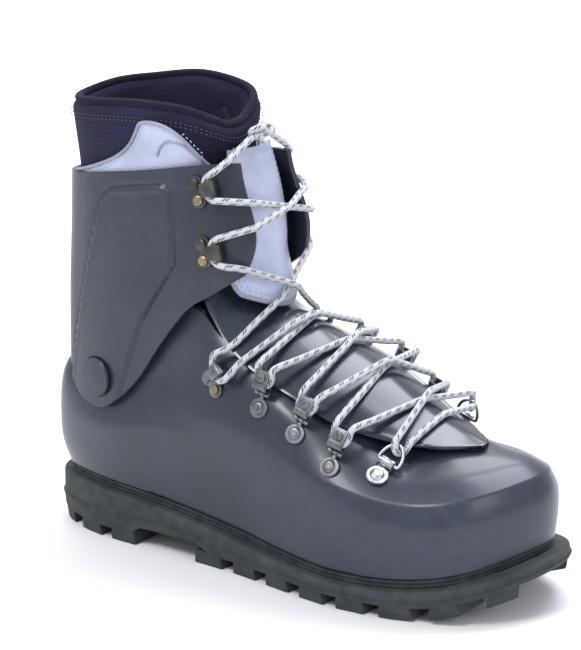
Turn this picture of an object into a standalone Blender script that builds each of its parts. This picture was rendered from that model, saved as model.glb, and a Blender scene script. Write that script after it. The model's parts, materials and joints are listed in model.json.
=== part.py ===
"""Double mountaineering boot for the right foot, laced, as separate pieces.

Tables and sizes are in millimetres. +X points to the toe, +Y to the inner side of the foot,
+Z up. STATION_COUNT columns run round the foot: heel, outer side, toe, inner side.
"""
import math

import bmesh
import bpy
from mathutils import Matrix, Vector
from mathutils.bvhtree import BVHTree

# ---------------------------------------------------------------- driving dimensions
MM = 0.001
CENTRE = Vector((162.5, 0.5, 0.0))      # middle of the boot's plan, which becomes the origin
GAP = 0.4                               # between pieces that rest on each other
SHELL_WALL = 3.6
SHELL_FLOOR = 3.0
CUFF_WALL = 3.0
LINER_WALL = 5.0
WELT_DEPTH = 5.2                        # height of the recessed strip between shell and sole
WELT_REACH = 3.5                        # how far the sole stands out past the shell
TOE_WELT_EXTRA = 4.5                    # more reach at the toe, for a crampon bail
LUG_DEPTH = 8.0
PIVOT = Vector((48.0, 0.0, 101.0))      # ankle hinge, its axis runs along Y
PIVOT_TILT = math.radians(16)           # the discs follow the heel's narrowing
LACE_RADIUS = 2.0
LACE_CLEAR = 1.6                        # between a strand's side and what it lies on
SEAT_LIFT = 0.9                         # clearance of a flat disc on the curved walls
SIDES = {"lateral": -1, "medial": 1}

# Shell columns, one per station, from the bottom edge to the rim.
SHELL = [
    [(3, 0, 37), (-2, 0, 52), (-2, 0, 72), (0, 0, 92), (3.5, 0, 101), (12, 0, 106), (15.5, 0, 118), (22, 0, 129)],
    [(12, -21, 37), (8, -23, 52), (8, -24, 72), (10, -24, 88), (14, -22, 98), (22, -17.5, 104), (25, -17, 118),
     (30, -17, 130)],
    [(46, -35, 37), (45, -37, 54), (45, -38, 69), (46, -36, 79), (47, -34, 89), (48, -33.5, 104),
     (50, -33, 122), (52, -31, 139)],
    [(97, -39, 33), (97, -43, 53), (98, -45, 74), (99, -42, 91), (100, -38, 105), (102, -36, 118),
     (105, -34.5, 134), (110, -32, 150)],
    [(148, -44, 27), (148, -49, 47), (149, -52, 68), (149, -52, 86), (147, -49, 100), (144, -44.5, 113),
     (139, -39.5, 125), (134, -34, 135)],
    [(183, -51, 23), (183, -55, 43), (184, -57, 64), (184, -56, 80), (183, -53, 93), (181, -49, 104),
     (178, -43, 112), (174, -36, 119)],
    [(220, -57, 21), (220, -61, 40), (220, -62, 58), (220, -60, 72), (218, -53, 82), (216, -46, 90),
     (212, -39, 97), (207, -31, 104)],
    [(262, -53, 23), (262, -56, 40), (262, -57, 54), (261, -53, 66), (257, -44, 74), (252, -35, 79),
     (246, -26, 84), (240, -18, 89)],
    [(296, -39, 30), (297, -41, 46), (297, -41, 59), (295, -37, 71), (287, -29, 78), (278, -20, 82),
     (269, -12, 85), (261, -6, 87)],
    [(321, 4, 39), (322, 4, 54), (321, 4, 67), (316, 4, 77), (306, 4, 82), (294, 4, 84), (281, 4, 85),
     (268, 4, 87)],
    [(302, 42, 32), (303, 44, 47), (303, 44, 60), (300, 40, 71), (291, 32, 78), (281, 24, 82), (271, 17, 86),
     (262, 12, 88)],
    [(272, 51, 24), (272, 54, 41), (272, 55, 56), (270, 51, 68), (264, 43, 76), (257, 36, 82), (250, 28, 87),
     (242, 21, 92)],
    [(238, 54, 22), (238, 58, 41), (238, 59, 58), (236, 56, 73), (232, 50, 84), (227, 44, 93), (220, 38, 100),
     (212, 32, 107)],
    [(197, 48, 24), (197, 53, 44), (198, 55, 64), (198, 55, 82), (195, 52, 97), (191, 48, 108), (185, 43, 116),
     (178, 36, 122)],
    [(152, 39, 28), (152, 45, 48), (153, 48, 68), (153, 49, 88), (150, 47, 104), (146, 43.5, 117),
     (142, 39, 127), (136, 34, 137)],
    [(105, 35, 33), (105, 40, 53), (106, 43, 74), (106, 41, 91), (106, 38, 105), (107, 36, 118),
     (110, 34.5, 134), (113, 32, 151)],
    [(48, 33, 37), (47, 36, 54), (47, 38, 69), (47, 36, 79), (48, 34, 89), (49, 33.5, 104), (51, 33, 122),
     (53, 31, 139)],
    [(13, 20, 37), (8, 23, 52), (8, 24, 72), (10, 24, 88), (14, 22, 98), (22, 17.5, 104), (25, 17, 118),
     (30, 17, 130)],
]
STATION_COUNT = len(SHELL)

# Cuff columns from the front edge of one side to the heel: plan points at four heights.
CUFF_LEVELS = (100, 150, 190, 232)
CUFF = [
    [(128, 41), (137, 39), (153, 30), (142, 27), 173, 235],
    [(121, 42), (127, 41), (137, 37), (129, 33), 161, 234],
    [(112, 42.5), (114, 42), (118, 40), (114, 37), 151, 232],
    [(96, 43), (97, 42.5), (98, 41), (96, 39), 130, 229],
    [(75, 42), (75, 42), (76, 41), (77, 39), 101, 226],
    [(52, 40.5), (53, 40), (55, 39), (56, 37), 83, 223],
    [(30, 34.5), (32, 34), (34, 33), (36, 32), 88, 220],
    [(15, 24.5), (16, 24), (17, 22), (18, 21), 109, 218],
    [(6.5, 0), (7, 0), (7.5, 0), (9, 0), 117, 217],
]

# Liner collar: plan points of its outer face at three heights, then the rim's height on the outer and the
# inner side of the foot.
COLLAR_LEVELS = (166, 215, 262)
COLLAR_BOTTOM = 168
COLLAR = [
    [(14, 0), (15, 0), (10, 0), 256, 256],
    [(22, 18), (24, 18), (20, 20), 256, 261],
    [(40, 28), (42, 28), (40, 32), 257, 264],
    [(75, 35), (76, 33), (76, 36), 259, 268],
    [(104, 33), (104, 31), (108, 34), 258, 264],
    [(122, 24), (117, 23), (122, 25), 253, 258],
    [(129, 10), (120, 10), (126, 10), 248, 250],
    [(130, 0), (121, 0), (127, 0), 248, 248],
]

# Tongue: outer edge, ridge and inner edge of each cross-section, from the toe back.
TONGUE = [
    [(281, -1, 88), (282, 4, 88.5), (280, 9, 88.5)],
    [(264, -18, 89), (268, 4, 93), (267, 20, 90.5)],
    [(245, -29, 91), (248, 3, 102), (249, 32, 93)],
    [(214, -41.5, 99.5), (222, 2, 118), (223, 42, 103)],
    [(189, -45, 111), (196, 2, 131), (198, 45, 115.5)],
    [(163, -44.5, 121.5), (171, 1, 142), (170, 44.5, 125.5)],
    [(143.5, -41.3, 132.2), (151, 0, 151), (147.5, 41.3, 135.2)],
    [(129, -37, 146), (140, 0, 164), (130, 37, 148)],
]
# Upper panel of the tongue: half width, x of the ridge and height.
TONGUE_FLAP = [(15, 153, 152), (27, 149, 160), (30, 145, 171), (30, 143, 180)]
TONGUE_TOP = [(28, 143, 188), (27, 142, 200), (24, 139, 216), (22, 135, 230), (20, 132, 240)]
TONGUE_THICKNESS = 2.4

# Places of the metal pieces: x and z of the rivet, then of the lace end that it faces.
GUIDES = {"lateral": [((168, 104), (176, 119)), ((193, 94), (199, 109)), ((217, 80), (223, 97))],
          "medial": [((170, 106), (178, 121)), ((195, 96), (202, 110)), ((218.5, 82), (225, 99))]}
RINGS = {"lateral": ((242, 77), (247, 87)), "medial": ((244, 79), (249, 90))}
LOCK_HOOKS = {"lateral": ((133, 111), (143, 122)), "medial": ((135, 113), (146, 125))}
CUFF_HOOKS = [((119, 218), (132, 222)), ((124.5, 185), (138, 187))]


# ---------------------------------------------------------------- helpers
def clear_scene():
    """Start from an empty file."""
    for item in list(bpy.data.objects):
        bpy.data.objects.remove(item)


def material(name, colour, roughness, metallic=0.0):
    """A Principled material."""
    found = bpy.data.materials.new(name)
    found.use_nodes = True
    shader = found.node_tree.nodes["Principled BSDF"]
    shader.inputs["Base Color"].default_value = (*colour, 1)
    shader.inputs["Roughness"].default_value = roughness
    shader.inputs["Metallic"].default_value = metallic
    return found


def place(point):
    """A point of the tables, in metres and in the boot's own frame."""
    return (Vector(point) - CENTRE) * MM


def add_object(name, mesh_data, paint, origin=None):
    """Make an object from a bmesh in millimetres, with its origin at a joint or at the boot's."""
    base = place(origin) if origin is not None else Vector((0, 0, 0))
    for vertex in mesh_data.verts:
        vertex.co = place(vertex.co) - base
    mesh = bpy.data.meshes.new(name)
    mesh_data.to_mesh(mesh)
    mesh_data.free()
    mesh.materials.append(paint)
    mesh.shade_smooth()
    mesh.set_sharp_from_angle(angle=math.radians(38))
    item = bpy.data.objects.new(name, mesh)
    item.location = base
    bpy.context.collection.objects.link(item)
    return item


def spline(points, per, closed=False):
    """Catmull-Rom curve through points, with per samples to a span."""
    knots = [Vector(p) for p in points]
    count = len(knots)
    spans = count if closed else count - 1
    found = []
    for i in range(spans):
        if closed:
            a, b, c, d = (knots[(i + k) % count] for k in (-1, 0, 1, 2))
        else:
            a, b, c, d = (knots[min(max(i + k, 0), count - 1)] for k in (-1, 0, 1, 2))
        for k in range(per):
            t = k / per
            found.append(0.5 * (2 * b + (c - a) * t + (2 * a - 5 * b + 4 * c - d) * t * t
                                + (3 * b - a - 3 * c + d) * t ** 3))
    if not closed:
        found.append(knots[-1])
    return found


def rings_from(columns, per_column, per_row, closed=True):
    """Rings round the foot, bottom to top, from one column of points per station."""
    tall = [spline(column, per_row) for column in columns]
    return [spline([column[k] for column in tall], per_column, closed) for k in range(len(tall[0]))]


def skin_normals(rings, closed=True):
    """Outward normal at every point of a set of rings."""
    found = []
    for k, ring in enumerate(rings):
        low, high = rings[max(k - 1, 0)], rings[min(k + 1, len(rings) - 1)]
        count = len(ring)
        line = []
        for i in range(count):
            if closed:
                along = ring[(i + 1) % count] - ring[i - 1]
            else:
                along = ring[min(i + 1, count - 1)] - ring[max(i - 1, 0)]
            line.append(along.cross(high[i] - low[i]).normalized())
        found.append(line)
    return found


def offset(rings, distance, closed=True):
    """The rings moved along their normals, inward where distance is negative."""
    normals = skin_normals(rings, closed)
    return [[p + n * distance for p, n in zip(ring, line)] for ring, line in zip(rings, normals)]


def flat_normal(ring, i):
    """Outward direction of a ring in plan."""
    along = ring[(i + 1) % len(ring)] - ring[i - 1]
    return Vector((along.y, -along.x, 0)).normalized()


def closed_body(rings):
    """Loft a body from rings, each end closed by strips from side to side."""
    mesh = bmesh.new()
    rows = [[mesh.verts.new(p) for p in ring] for ring in rings]
    count = len(rings[0])
    for low, high in zip(rows, rows[1:]):
        for i in range(count):
            j = (i + 1) % count
            mesh.faces.new((low[i], low[j], high[j], high[i]))
    for row, up in ((rows[0], False), (rows[-1], True)):
        half = count // 2
        strips = [(row[0], row[1], row[-1]), (row[half], row[half + 1], row[half - 1])]
        strips += [(row[i], row[i + 1], row[count - i - 1], row[count - i]) for i in range(1, half - 1)]
        for strip in strips:
            mesh.faces.new(strip if up else strip[::-1])
    return mesh


def tube_body(rings):
    """Loft a sleeve from rings and join its last ring to its first."""
    mesh = bmesh.new()
    rows = [[mesh.verts.new(p) for p in ring] for ring in rings]
    count = len(rings[0])
    for low, high in zip(rows, rows[1:] + rows[:1]):
        for i in range(count):
            j = (i + 1) % count
            mesh.faces.new((low[i], low[j], high[j], high[i]))
    return mesh


def sheet_body(outer, inner):
    """A wall between two grids of points with open sides, such as a cuff or a tongue."""
    mesh = bmesh.new()
    front = [[mesh.verts.new(p) for p in row] for row in outer]
    back = [[mesh.verts.new(p) for p in row] for row in inner]
    rows, count = len(outer), len(outer[0])
    for grid, facing in ((front, True), (back, False)):
        for low, high in zip(grid, grid[1:]):
            for i in range(count - 1):
                face = (low[i], low[i + 1], high[i + 1], high[i])
                mesh.faces.new(face if facing else face[::-1])
    for i in range(count - 1):
        mesh.faces.new((front[0][i + 1], front[0][i], back[0][i], back[0][i + 1]))
        mesh.faces.new((front[-1][i], front[-1][i + 1], back[-1][i + 1], back[-1][i]))
    for k in range(rows - 1):
        mesh.faces.new((front[k][0], front[k + 1][0], back[k + 1][0], back[k][0]))
        mesh.faces.new((front[k + 1][-1], front[k][-1], back[k][-1], back[k + 1][-1]))
    return mesh


def box(low, high):
    """A block between two corners."""
    mesh = bmesh.new()
    low, high = Vector(low), Vector(high)
    size = high - low
    matrix = Matrix.Translation((low + high) / 2) @ Matrix.Diagonal((*size, 1))
    bmesh.ops.create_cube(mesh, size=1, matrix=matrix)
    return mesh


def rod(centre, axis, radius, length, segments=16):
    """A cylinder about a point."""
    mesh = bmesh.new()
    turn = Vector(axis).to_track_quat("Z", "Y").to_matrix().to_4x4()
    bmesh.ops.create_cone(mesh, cap_ends=True, segments=segments, radius1=radius, radius2=radius,
                          depth=length, matrix=Matrix.Translation(centre) @ turn)
    return mesh


def turned(profile, segments=16):
    """A solid of revolution about Z from (radius, height) points, bottom to top."""
    mesh = bmesh.new()
    knots = [mesh.verts.new((r, 0, z)) for r, z in profile]
    edges = [mesh.edges.new(pair) for pair in zip(knots, knots[1:])]
    bmesh.ops.spin(mesh, geom=knots + edges, cent=(0, 0, 0), axis=(0, 0, 1), angle=math.tau,
                   steps=segments, use_merge=True)
    bmesh.ops.remove_doubles(mesh, verts=mesh.verts, dist=1e-4)
    bmesh.ops.recalc_face_normals(mesh, faces=mesh.faces)
    return mesh


def plate(outline, low, high):
    """A plan outline, anticlockwise, made into a plate between two heights."""
    mesh = bmesh.new()
    face = mesh.faces.new([mesh.verts.new((x, y, low)) for x, y in outline])
    top = bmesh.ops.extrude_face_region(mesh, geom=[face])
    upper = [item for item in top["geom"] if isinstance(item, bmesh.types.BMVert)]
    bmesh.ops.translate(mesh, verts=upper, vec=(0, 0, high - low))
    bmesh.ops.recalc_face_normals(mesh, faces=mesh.faces)
    return mesh


def combine(first, others, operation="UNION"):
    """Join solids into one body, or cut the others from the first."""
    helpers = []
    for mesh_data in [first, *others]:
        mesh = bpy.data.meshes.new("solid")
        mesh_data.to_mesh(mesh)
        mesh_data.free()
        item = bpy.data.objects.new("solid", mesh)
        bpy.context.collection.objects.link(item)
        helpers.append(item)
    for item in helpers[1:]:
        change = helpers[0].modifiers.new("join", "BOOLEAN")
        change.operation = operation
        change.solver = "EXACT"
        change.object = item
    graph = bpy.context.evaluated_depsgraph_get()
    result = bmesh.new()
    result.from_mesh(helpers[0].evaluated_get(graph).to_mesh())
    for item in helpers:
        bpy.data.objects.remove(item)
    bmesh.ops.remove_doubles(result, verts=result.verts, dist=1e-4)
    return result


def moved(mesh_data, matrix):
    """The same bmesh, placed by a matrix."""
    bmesh.ops.transform(mesh_data, matrix=matrix, verts=mesh_data.verts)
    return mesh_data


def cord(name, route, radius, paint):
    """A round cord with filled ends, along a smooth curve through its route; returns its length."""
    points = [route[0]]
    smooth_line = spline(route, CORD_FINENESS)
    for k in range(len(route) - 1):
        span = (route[k + 1] - route[k]).length
        steps = 2 if span > CORD_SPACING else 1
        points += [smooth_line[k * CORD_FINENESS + CORD_FINENESS * n // steps] for n in range(1, steps + 1)]
    curve = bpy.data.curves.new(name, "CURVE")
    curve.dimensions = "3D"
    line = curve.splines.new("POLY")
    line.points.add(len(points) - 1)
    for knot, point in zip(line.points, points):
        knot.co = (*place(point), 1)
    curve.bevel_depth = radius * MM
    curve.bevel_resolution = 2
    curve.use_fill_caps = True
    curve.materials.append(paint)
    item = bpy.data.objects.new(name, curve)
    bpy.context.collection.objects.link(item)
    return sum((b - a).length for a, b in zip(smooth_line, smooth_line[1:]))


# ---------------------------------------------------------------- surfaces shared by the pieces
def smooth(t):
    """Ease from 0 to 1."""
    t = min(max(t, 0.0), 1.0)
    return t * t * (3 - 2 * t)


def skeleton(point):
    """The middle of the foot's room nearest to a point of the shell."""
    x = min(max(point.x, 62), 268)
    ceiling = 135 if x < 105 else 135 - 73 * (x - 105) / 163
    return Vector((x, 1.5, min(max(point.z, 56), ceiling)))


def shrunk(ring, distance):
    """A ring drawn in towards the middle of the foot's room."""
    return [p + (skeleton(p) - p).normalized() * distance for p in ring]


def tread_height(x):
    """Height of the ground face of the sole: flat, with the toe sprung up."""
    return 15.0 * smooth((x - 255) / 150) * 2.6


def surface(rings):
    """A ray-cast copy of a set of rings."""
    count = len(rings[0])
    points = [p for ring in rings for p in ring]
    faces = []
    for k in range(len(rings) - 1):
        for i in range(count):
            j = (i + 1) % count
            faces.append((k * count + i, k * count + j, (k + 1) * count + j, (k + 1) * count + i))
    return BVHTree.FromPolygons(points, faces)


def seat(tree, spot, towards, side, lift=0.0):
    """Frame on a wall: origin on it, X towards a second spot, Z outwards."""
    found = []
    for x, z in (spot, towards):
        point, normal, _, _ = tree.ray_cast(Vector((x, side * 150, z)), Vector((0, -side, 0)))
        if normal.y * side < 0:
            normal = -normal
        found.append((point, normal))
    point, normal = found[0]
    ahead = (found[1][0] - point)
    ahead = (ahead - normal * ahead.dot(normal)).normalized()
    frame = Matrix((ahead, normal.cross(ahead), normal)).transposed().to_4x4()
    return Matrix.Translation(point + normal * lift) @ frame


def cuff_columns(side_list):
    """Cuff columns as points from the lower to the upper edge, for one or both sides."""
    found = []
    for side, index in side_list:
        *plans, low, high = CUFF[index]
        column = []
        for k in range(6):
            z = low + (high - low) * k / 5
            level = [Vector((x, side * y, h)) for (x, y), h in zip(plans, CUFF_LEVELS)]
            column.append(at_height(level, z))
        found.append(column)
    return found


def at_height(level, z):
    """Point of a rising line at a height, smooth between its levels and straight beyond them."""
    below = [k for k in range(len(level) - 1) if level[k].z <= z]
    k = below[-1] if below else 0
    a, b = level[k], level[k + 1]
    t = (z - a.z) / (b.z - a.z)
    if not 0 <= t <= 1:
        point = a + (b - a) * t
    else:
        first = level[max(k - 1, 0)]
        last = level[min(k + 2, len(level) - 1)]
        point = 0.5 * (2 * a + (b - first) * t + (2 * first - 5 * a + 4 * b - last) * t * t
                       + (3 * a - first - 3 * b + last) * t ** 3)
    return Vector((point.x, point.y, z))


# ---------------------------------------------------------------- sole
def build_sole(shell_rings, paints):
    """Lugged outsole and the recessed strip that joins it to the shell."""
    feather = shell_rings[0]
    reach = [WELT_REACH + TOE_WELT_EXTRA * smooth((p.x - 270) / 45) for p in feather]
    edge = [p + flat_normal(feather, i) * r for i, (p, r) in enumerate(zip(feather, reach))]
    top = [Vector((p.x, p.y, q.z - WELT_DEPTH)) for p, q in zip(edge, feather)]
    side = [p + flat_normal(edge, i) * 0.8 - Vector((0, 0, 4)) for i, p in enumerate(top)]
    foot = [Vector((p.x, p.y, tread_height(p.x))) + flat_normal(edge, i) * -1.0 for i, p in enumerate(edge)]
    body = closed_body([foot, side, top])
    cutters = []
    for x in (22, 49):
        cutters.append(box((x, -60, -5), (x + 7, 60, LUG_DEPTH)))
    cutters.append(box((76, -70, -5), (122, 70, LUG_DEPTH + 5)))
    for x in (145, 171, 197, 223, 249, 276, 301):
        deep = tread_height(x) + LUG_DEPTH
        cutters.append(box((x, -80, -5), (x + 7, -22, deep)))
        cutters.append(box((x + 4, 22, -5), (x + 11, 80, deep)))
    cutters.append(box((-10, -3.5, -5), (70, 3.5, LUG_DEPTH)))
    for x in (126, 160, 194, 228, 262):
        deep = tread_height(x + 14) + LUG_DEPTH
        cutters.append(box((x, -17, -5), (x + 28, -11, deep)))
        cutters.append(box((x, 11, -5), (x + 28, 17, deep)))
    add_object("outsole", combine(body, cutters, "DIFFERENCE"), paints["rubber"])
    inset = [p - flat_normal(feather, i) * 1.2 for i, p in enumerate(feather)]
    low = [Vector((p.x, p.y, q.z - WELT_DEPTH + GAP)) for p, q in zip(inset, feather)]
    high = [Vector((p.x, p.y, q.z - 2 * GAP)) for p, q in zip(inset, feather)]
    add_object("midsole", closed_body([low, high]), paints["midsole"])


# ---------------------------------------------------------------- shell and what lies in it
def build_shell(rings, paints):
    """The lower shell with its floor, the board, the liner's foot and its footbed."""
    inner = offset(rings, -SHELL_WALL)
    floor = [p - flat_normal(rings[0], i) * SHELL_WALL + Vector((0, 0, SHELL_FLOOR))
             for i, p in enumerate(rings[0])]
    body = closed_body(rings + inner[:0:-1] + [floor])
    shafts = [rod((PIVOT.x, side * 38, PIVOT.z), (0, 1, 0), 6.1, 30) for side in SIDES.values()]
    add_object("lower_shell", combine(body, shafts, "DIFFERENCE"), paints["shell"])

    board = [[p - flat_normal(rings[0], i) * 6.0 + Vector((0, 0, SHELL_FLOOR + h))
              for i, p in enumerate(rings[0])] for h in (GAP, GAP + 2.0)]
    add_object("insole_board", closed_body(board), paints["board"])

    rest = SHELL_FLOOR + 2 * GAP + 2.0
    sole_ring = [p - flat_normal(rings[0], i) * 8.0 + Vector((0, 0, rest)) for i, p in enumerate(rings[0])]
    sock_floor = [p - flat_normal(rings[0], i) * (8.0 + LINER_WALL) + Vector((0, 0, rest + 4))
                  for i, p in enumerate(rings[0])]
    outer = offset(rings, -SHELL_WALL - 2.8)[1:]
    lining = [shrunk(ring, LINER_WALL) for ring in outer]
    add_object("liner_foot", closed_body([sole_ring] + outer + lining[::-1] + [sock_floor]), paints["liner"])
    bed = [[p + Vector((0, 0, h)) - flat_normal(sock_floor, i) * 1.5 for i, p in enumerate(sock_floor)]
           for h in (GAP, GAP + 3.0)]
    add_object("footbed", closed_body(bed), paints["board"])


def build_tongue(paints):
    """Thin tongue over the throat, and its upper panel in a foot half and a cuff half."""
    def arch(edge_a, ridge, edge_b):
        a, m, b = Vector(edge_a), Vector(ridge), Vector(edge_b)
        return [a, a.lerp(m, 0.38) + Vector((0, 0, 0.16 * (m.z - a.z))) , m,
                b.lerp(m, 0.38) + Vector((0, 0, 0.16 * (m.z - b.z))), b]

    rows = [spline(arch(*section), 3) for section in TONGUE]
    grid = [spline(column, 2) for column in zip(*rows)]
    outer = [list(row) for row in zip(*grid)]
    grids = [outer]
    down = TONGUE_THICKNESS if skin_normals(outer, closed=False)[4][6].z < 0 else -TONGUE_THICKNESS
    body = sheet_body(outer, offset(outer, down, closed=False))
    bmesh.ops.recalc_face_normals(body, faces=body.faces)
    add_object("tongue_lower", body, paints["tongue"])

    def panel(stations):
        grid = []
        for half, x, z in stations:
            row = []
            for k in range(9):
                s = (k - 4) / 4
                row.append(Vector((x + 3.0 - 12.0 * (s * half / 30) ** 2, s * half, z)))
            grid.append(row)
        return grid

    for name, stations in (("tongue_flap", TONGUE_FLAP), ("tongue_upper", TONGUE_TOP)):
        front = panel(stations)
        back = [[p - Vector((3.0, 0, 1.2)) for p in row] for row in front]
        body = sheet_body(front, back)
        bmesh.ops.recalc_face_normals(body, faces=body.faces)
        add_object(name, body, paints["panel"])
        grids.append(front)
    return grids


# ---------------------------------------------------------------- cuff and the liner in it
def build_cuff(paints):
    """The hinged cuff with its two stepped pivot holes."""
    columns = cuff_columns([(-1, k) for k in range(9)] + [(1, k) for k in range(7, -1, -1)])
    outer = rings_from(columns, 2, 1, closed=False)
    outer = [list(reversed(ring)) for ring in outer]
    inner = offset(outer, -CUFF_WALL, closed=False)
    body = sheet_body(outer, inner)
    cutters = []
    for side in SIDES.values():
        tilt = Vector((-math.sin(PIVOT_TILT), side * math.cos(PIVOT_TILT), 0))
        cutters.append(rod((PIVOT.x, side * 38, PIVOT.z), (0, 1, 0), 6.3, 30))
        cutters.append(rod(Vector((PIVOT.x, side * 38.9, PIVOT.z)) + tilt * 5, tilt, 12.2, 10, 24))
    add_object("cuff", combine(body, cutters, "DIFFERENCE"), paints["shell"], PIVOT)
    return outer


def build_pivots(paints):
    """Stepped rivets that carry the cuff, fixed in the shell."""
    for name, side in SIDES.items():
        tilt = Vector((-math.sin(PIVOT_TILT), side * math.cos(PIVOT_TILT), 0))
        shaft = rod((PIVOT.x, side * 35, PIVOT.z), (0, 1, 0), 5.8, 10, 16)
        head = moved(turned([(0, 0), (11.7, 0), (11.7, 1.2), (8, 2.0), (0, 2.5)], 24),
                     Matrix.Translation((PIVOT.x, side * 39.2, PIVOT.z))
                     @ tilt.to_track_quat("Z", "Y").to_matrix().to_4x4())
        add_object(f"pivot_rivet_{name}", combine(head, [shaft]), paints["steel_dark"])


def build_collar(paints):
    """Padded collar of the inner boot, a sleeve with a rounded rim."""
    def column(plans, rim, side):
        level = [Vector((x, side * y, h)) for (x, y), h in zip(plans, COLLAR_LEVELS)]
        heights = [COLLAR_BOTTOM + (rim - COLLAR_BOTTOM) * k / 5 for k in range(6)]
        return [at_height(level, z) for z in heights]

    columns = [column(c[:3], c[3], -1) for c in COLLAR] + [column(c[:3], c[4], 1) for c in COLLAR[-2:0:-1]]
    outer = rings_from(columns, 2, 1)
    middle = Vector((72, 0, 0))

    def drawn_in(ring, distance, drop):
        found = []
        for p in ring:
            inward = (middle - p)
            inward.z = 0
            found.append(p + inward.normalized() * distance - Vector((0, 0, drop)))
        return found

    lining = [drawn_in(ring, 10.0, 0) for ring in outer]
    crest = drawn_in(outer[-1], 5.0, -3.5)
    rings = outer + [crest] + lining[::-1]
    add_object("liner_collar", tube_body(rings), paints["liner"], PIVOT)


# ---------------------------------------------------------------- lace hardware
HINGE_X, HINGE_Z, KNUCKLE = 8.3, 1.7, 1.4
PIN_X, PIN_RADIUS = 17.9, 1.5
LACE_Z = 4.5
LOOP_RADIUS = 4.8
BRACKET_TILT = math.radians(8)
CORD_FINENESS, CORD_SPACING = 12, 14.0
STRAND_STEPS, STRAND_STEP = 20, 4
RING_TILT = math.radians(30)


def guide_base():
    """Riveted disc with one hinge knuckle."""
    disc = turned([(0, 0.0), (5.6, 0.0), (5.6, 1.2), (3.5, 1.3), (2.8, 2.7), (0, 3.2)], 14)
    ear = box((2.2, -1.2, 0.5), (HINGE_X + 0.3, 1.2, 1.4))
    knuckle = rod((HINGE_X, 0, HINGE_Z), (0, 1, 0), KNUCKLE, 3.0, 10)
    return combine(disc, [ear, knuckle])


def guide_bracket():
    """Folded bracket: two knuckles, two plates and the pin that joins them."""
    lower = box((9.95, -4.6, 0.6), (21.6, 4.6, 1.7))
    wall = box((9.95, -4.6, 1.0), (10.85, 4.6, 8.0))
    upper = plate([(9.95, -4.6), (20.4, -4.6), (22, -3.0), (22, 3.0), (20.4, 4.6), (9.95, 4.6)], 7.2, 8.3)
    parts = [wall, upper]
    for side in SIDES.values():
        parts.append(rod((HINGE_X, side * 3.2, HINGE_Z), (0, 1, 0), KNUCKLE, 2.7, 10))
        parts.append(box((HINGE_X - 0.3, side * 3.2 - 1.1, 0.75), (10.4, side * 3.2 + 1.1, 1.65)))
    parts.append(rod((PIN_X, 0, 4.9), (0, 0, 1), PIN_RADIUS, 8.0, 12))
    parts.append(rod((PIN_X, 0, 8.5), (0, 0, 1), 2.7, 1.2, 14))
    return combine(lower, parts)


def guide_roller():
    """Small sleeve that turns on the bracket's pin."""
    profile = [(PIN_RADIUS + 0.3, 2.0), (2.5, 2.0), (2.2, 4.5), (2.5, 6.9), (PIN_RADIUS + 0.3, 6.9)]
    ring = turned([*profile, profile[0]], 12)
    return moved(ring, Matrix.Translation((PIN_X, 0, 0)))


def ring_base():
    """Disc with a folded tab that holds the ring's bar."""
    disc = turned([(0, 0), (6.2, 0), (6.2, 1.2), (3.7, 1.3), (3.0, 2.8), (0, 3.4)], 14)
    tab = box((4.4, -4.0, 0.25), (9.0, 4.0, 1.3))
    fold = rod((9.4, 0, 2.4), (0, 1, 0), 2.3, 8.4, 12)
    body = combine(disc, [tab, fold])
    return combine(body, [rod((9.4, 0, 2.4), (0, 1, 0), 1.35, 12, 12)], "DIFFERENCE")


def ring_wire(name, frame, paint):
    """Bent wire ring with a straight bar in the tab."""
    tilt = Matrix.Rotation(-RING_TILT, 4, "Y")
    bar, reach, wire = 6.6, 11.0, 1.0
    outline = [(0, -bar, 0), (0, 0, 0), (0, bar, 0)]
    for k in range(1, 8):
        angle = math.pi * k / 8
        outline.append((1.2 + (reach - 1.2) * math.sin(angle), bar * math.cos(angle), 0))
    matrix = frame @ Matrix.Translation((9.4, 0, 2.4)) @ tilt
    curve = bpy.data.curves.new(name, "CURVE")
    curve.dimensions = "3D"
    line = curve.splines.new("POLY")
    line.points.add(len(outline) - 1)
    hinge = matrix.translation
    for knot, point in zip(line.points, outline):
        knot.co = (*((matrix @ Vector(point) - hinge) * MM), 1)
    line.use_cyclic_u = True
    curve.bevel_depth = wire * MM
    curve.bevel_resolution = 2
    curve.materials.append(paint)
    item = bpy.data.objects.new(name, curve)
    item.location = place(hinge)
    bpy.context.collection.objects.link(item)


def rivet(radius=3.3, height=1.8):
    """Domed rivet head on a short shank."""
    return turned([(0, -0.9), (1.7, -0.9), (1.7, 0.0), (radius, 0.0), (radius * 0.8, height), (0, height)], 10)


def hook_plate(spots, hook_x, width, lip):
    """Hook: a lobe round each rivet, a neck, and a lip folded back over the lace."""
    lobes = []
    for x, y in spots:
        lobes.append(moved(turned([(2.0, 0), (4.6, 0), (4.6, 1.2), (2.0, 1.2), (2.0, 0)], 12),
                           Matrix.Translation((x, y, 0))))
    half = width / 2
    bridge = box((-2.6, -1.5, 0.1), (2.6, 1.5, 1.1))
    neck = box((3.6, -half, 0.1), (hook_x, half, 1.1))
    wall = box((hook_x - 1.0, -half, 0.3), (hook_x, half, 7.4))
    roof = box((lip, -half, 6.4), (hook_x, half, 7.5))
    return combine(lobes[0], [lobes[1], bridge, neck, wall, roof])


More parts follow.
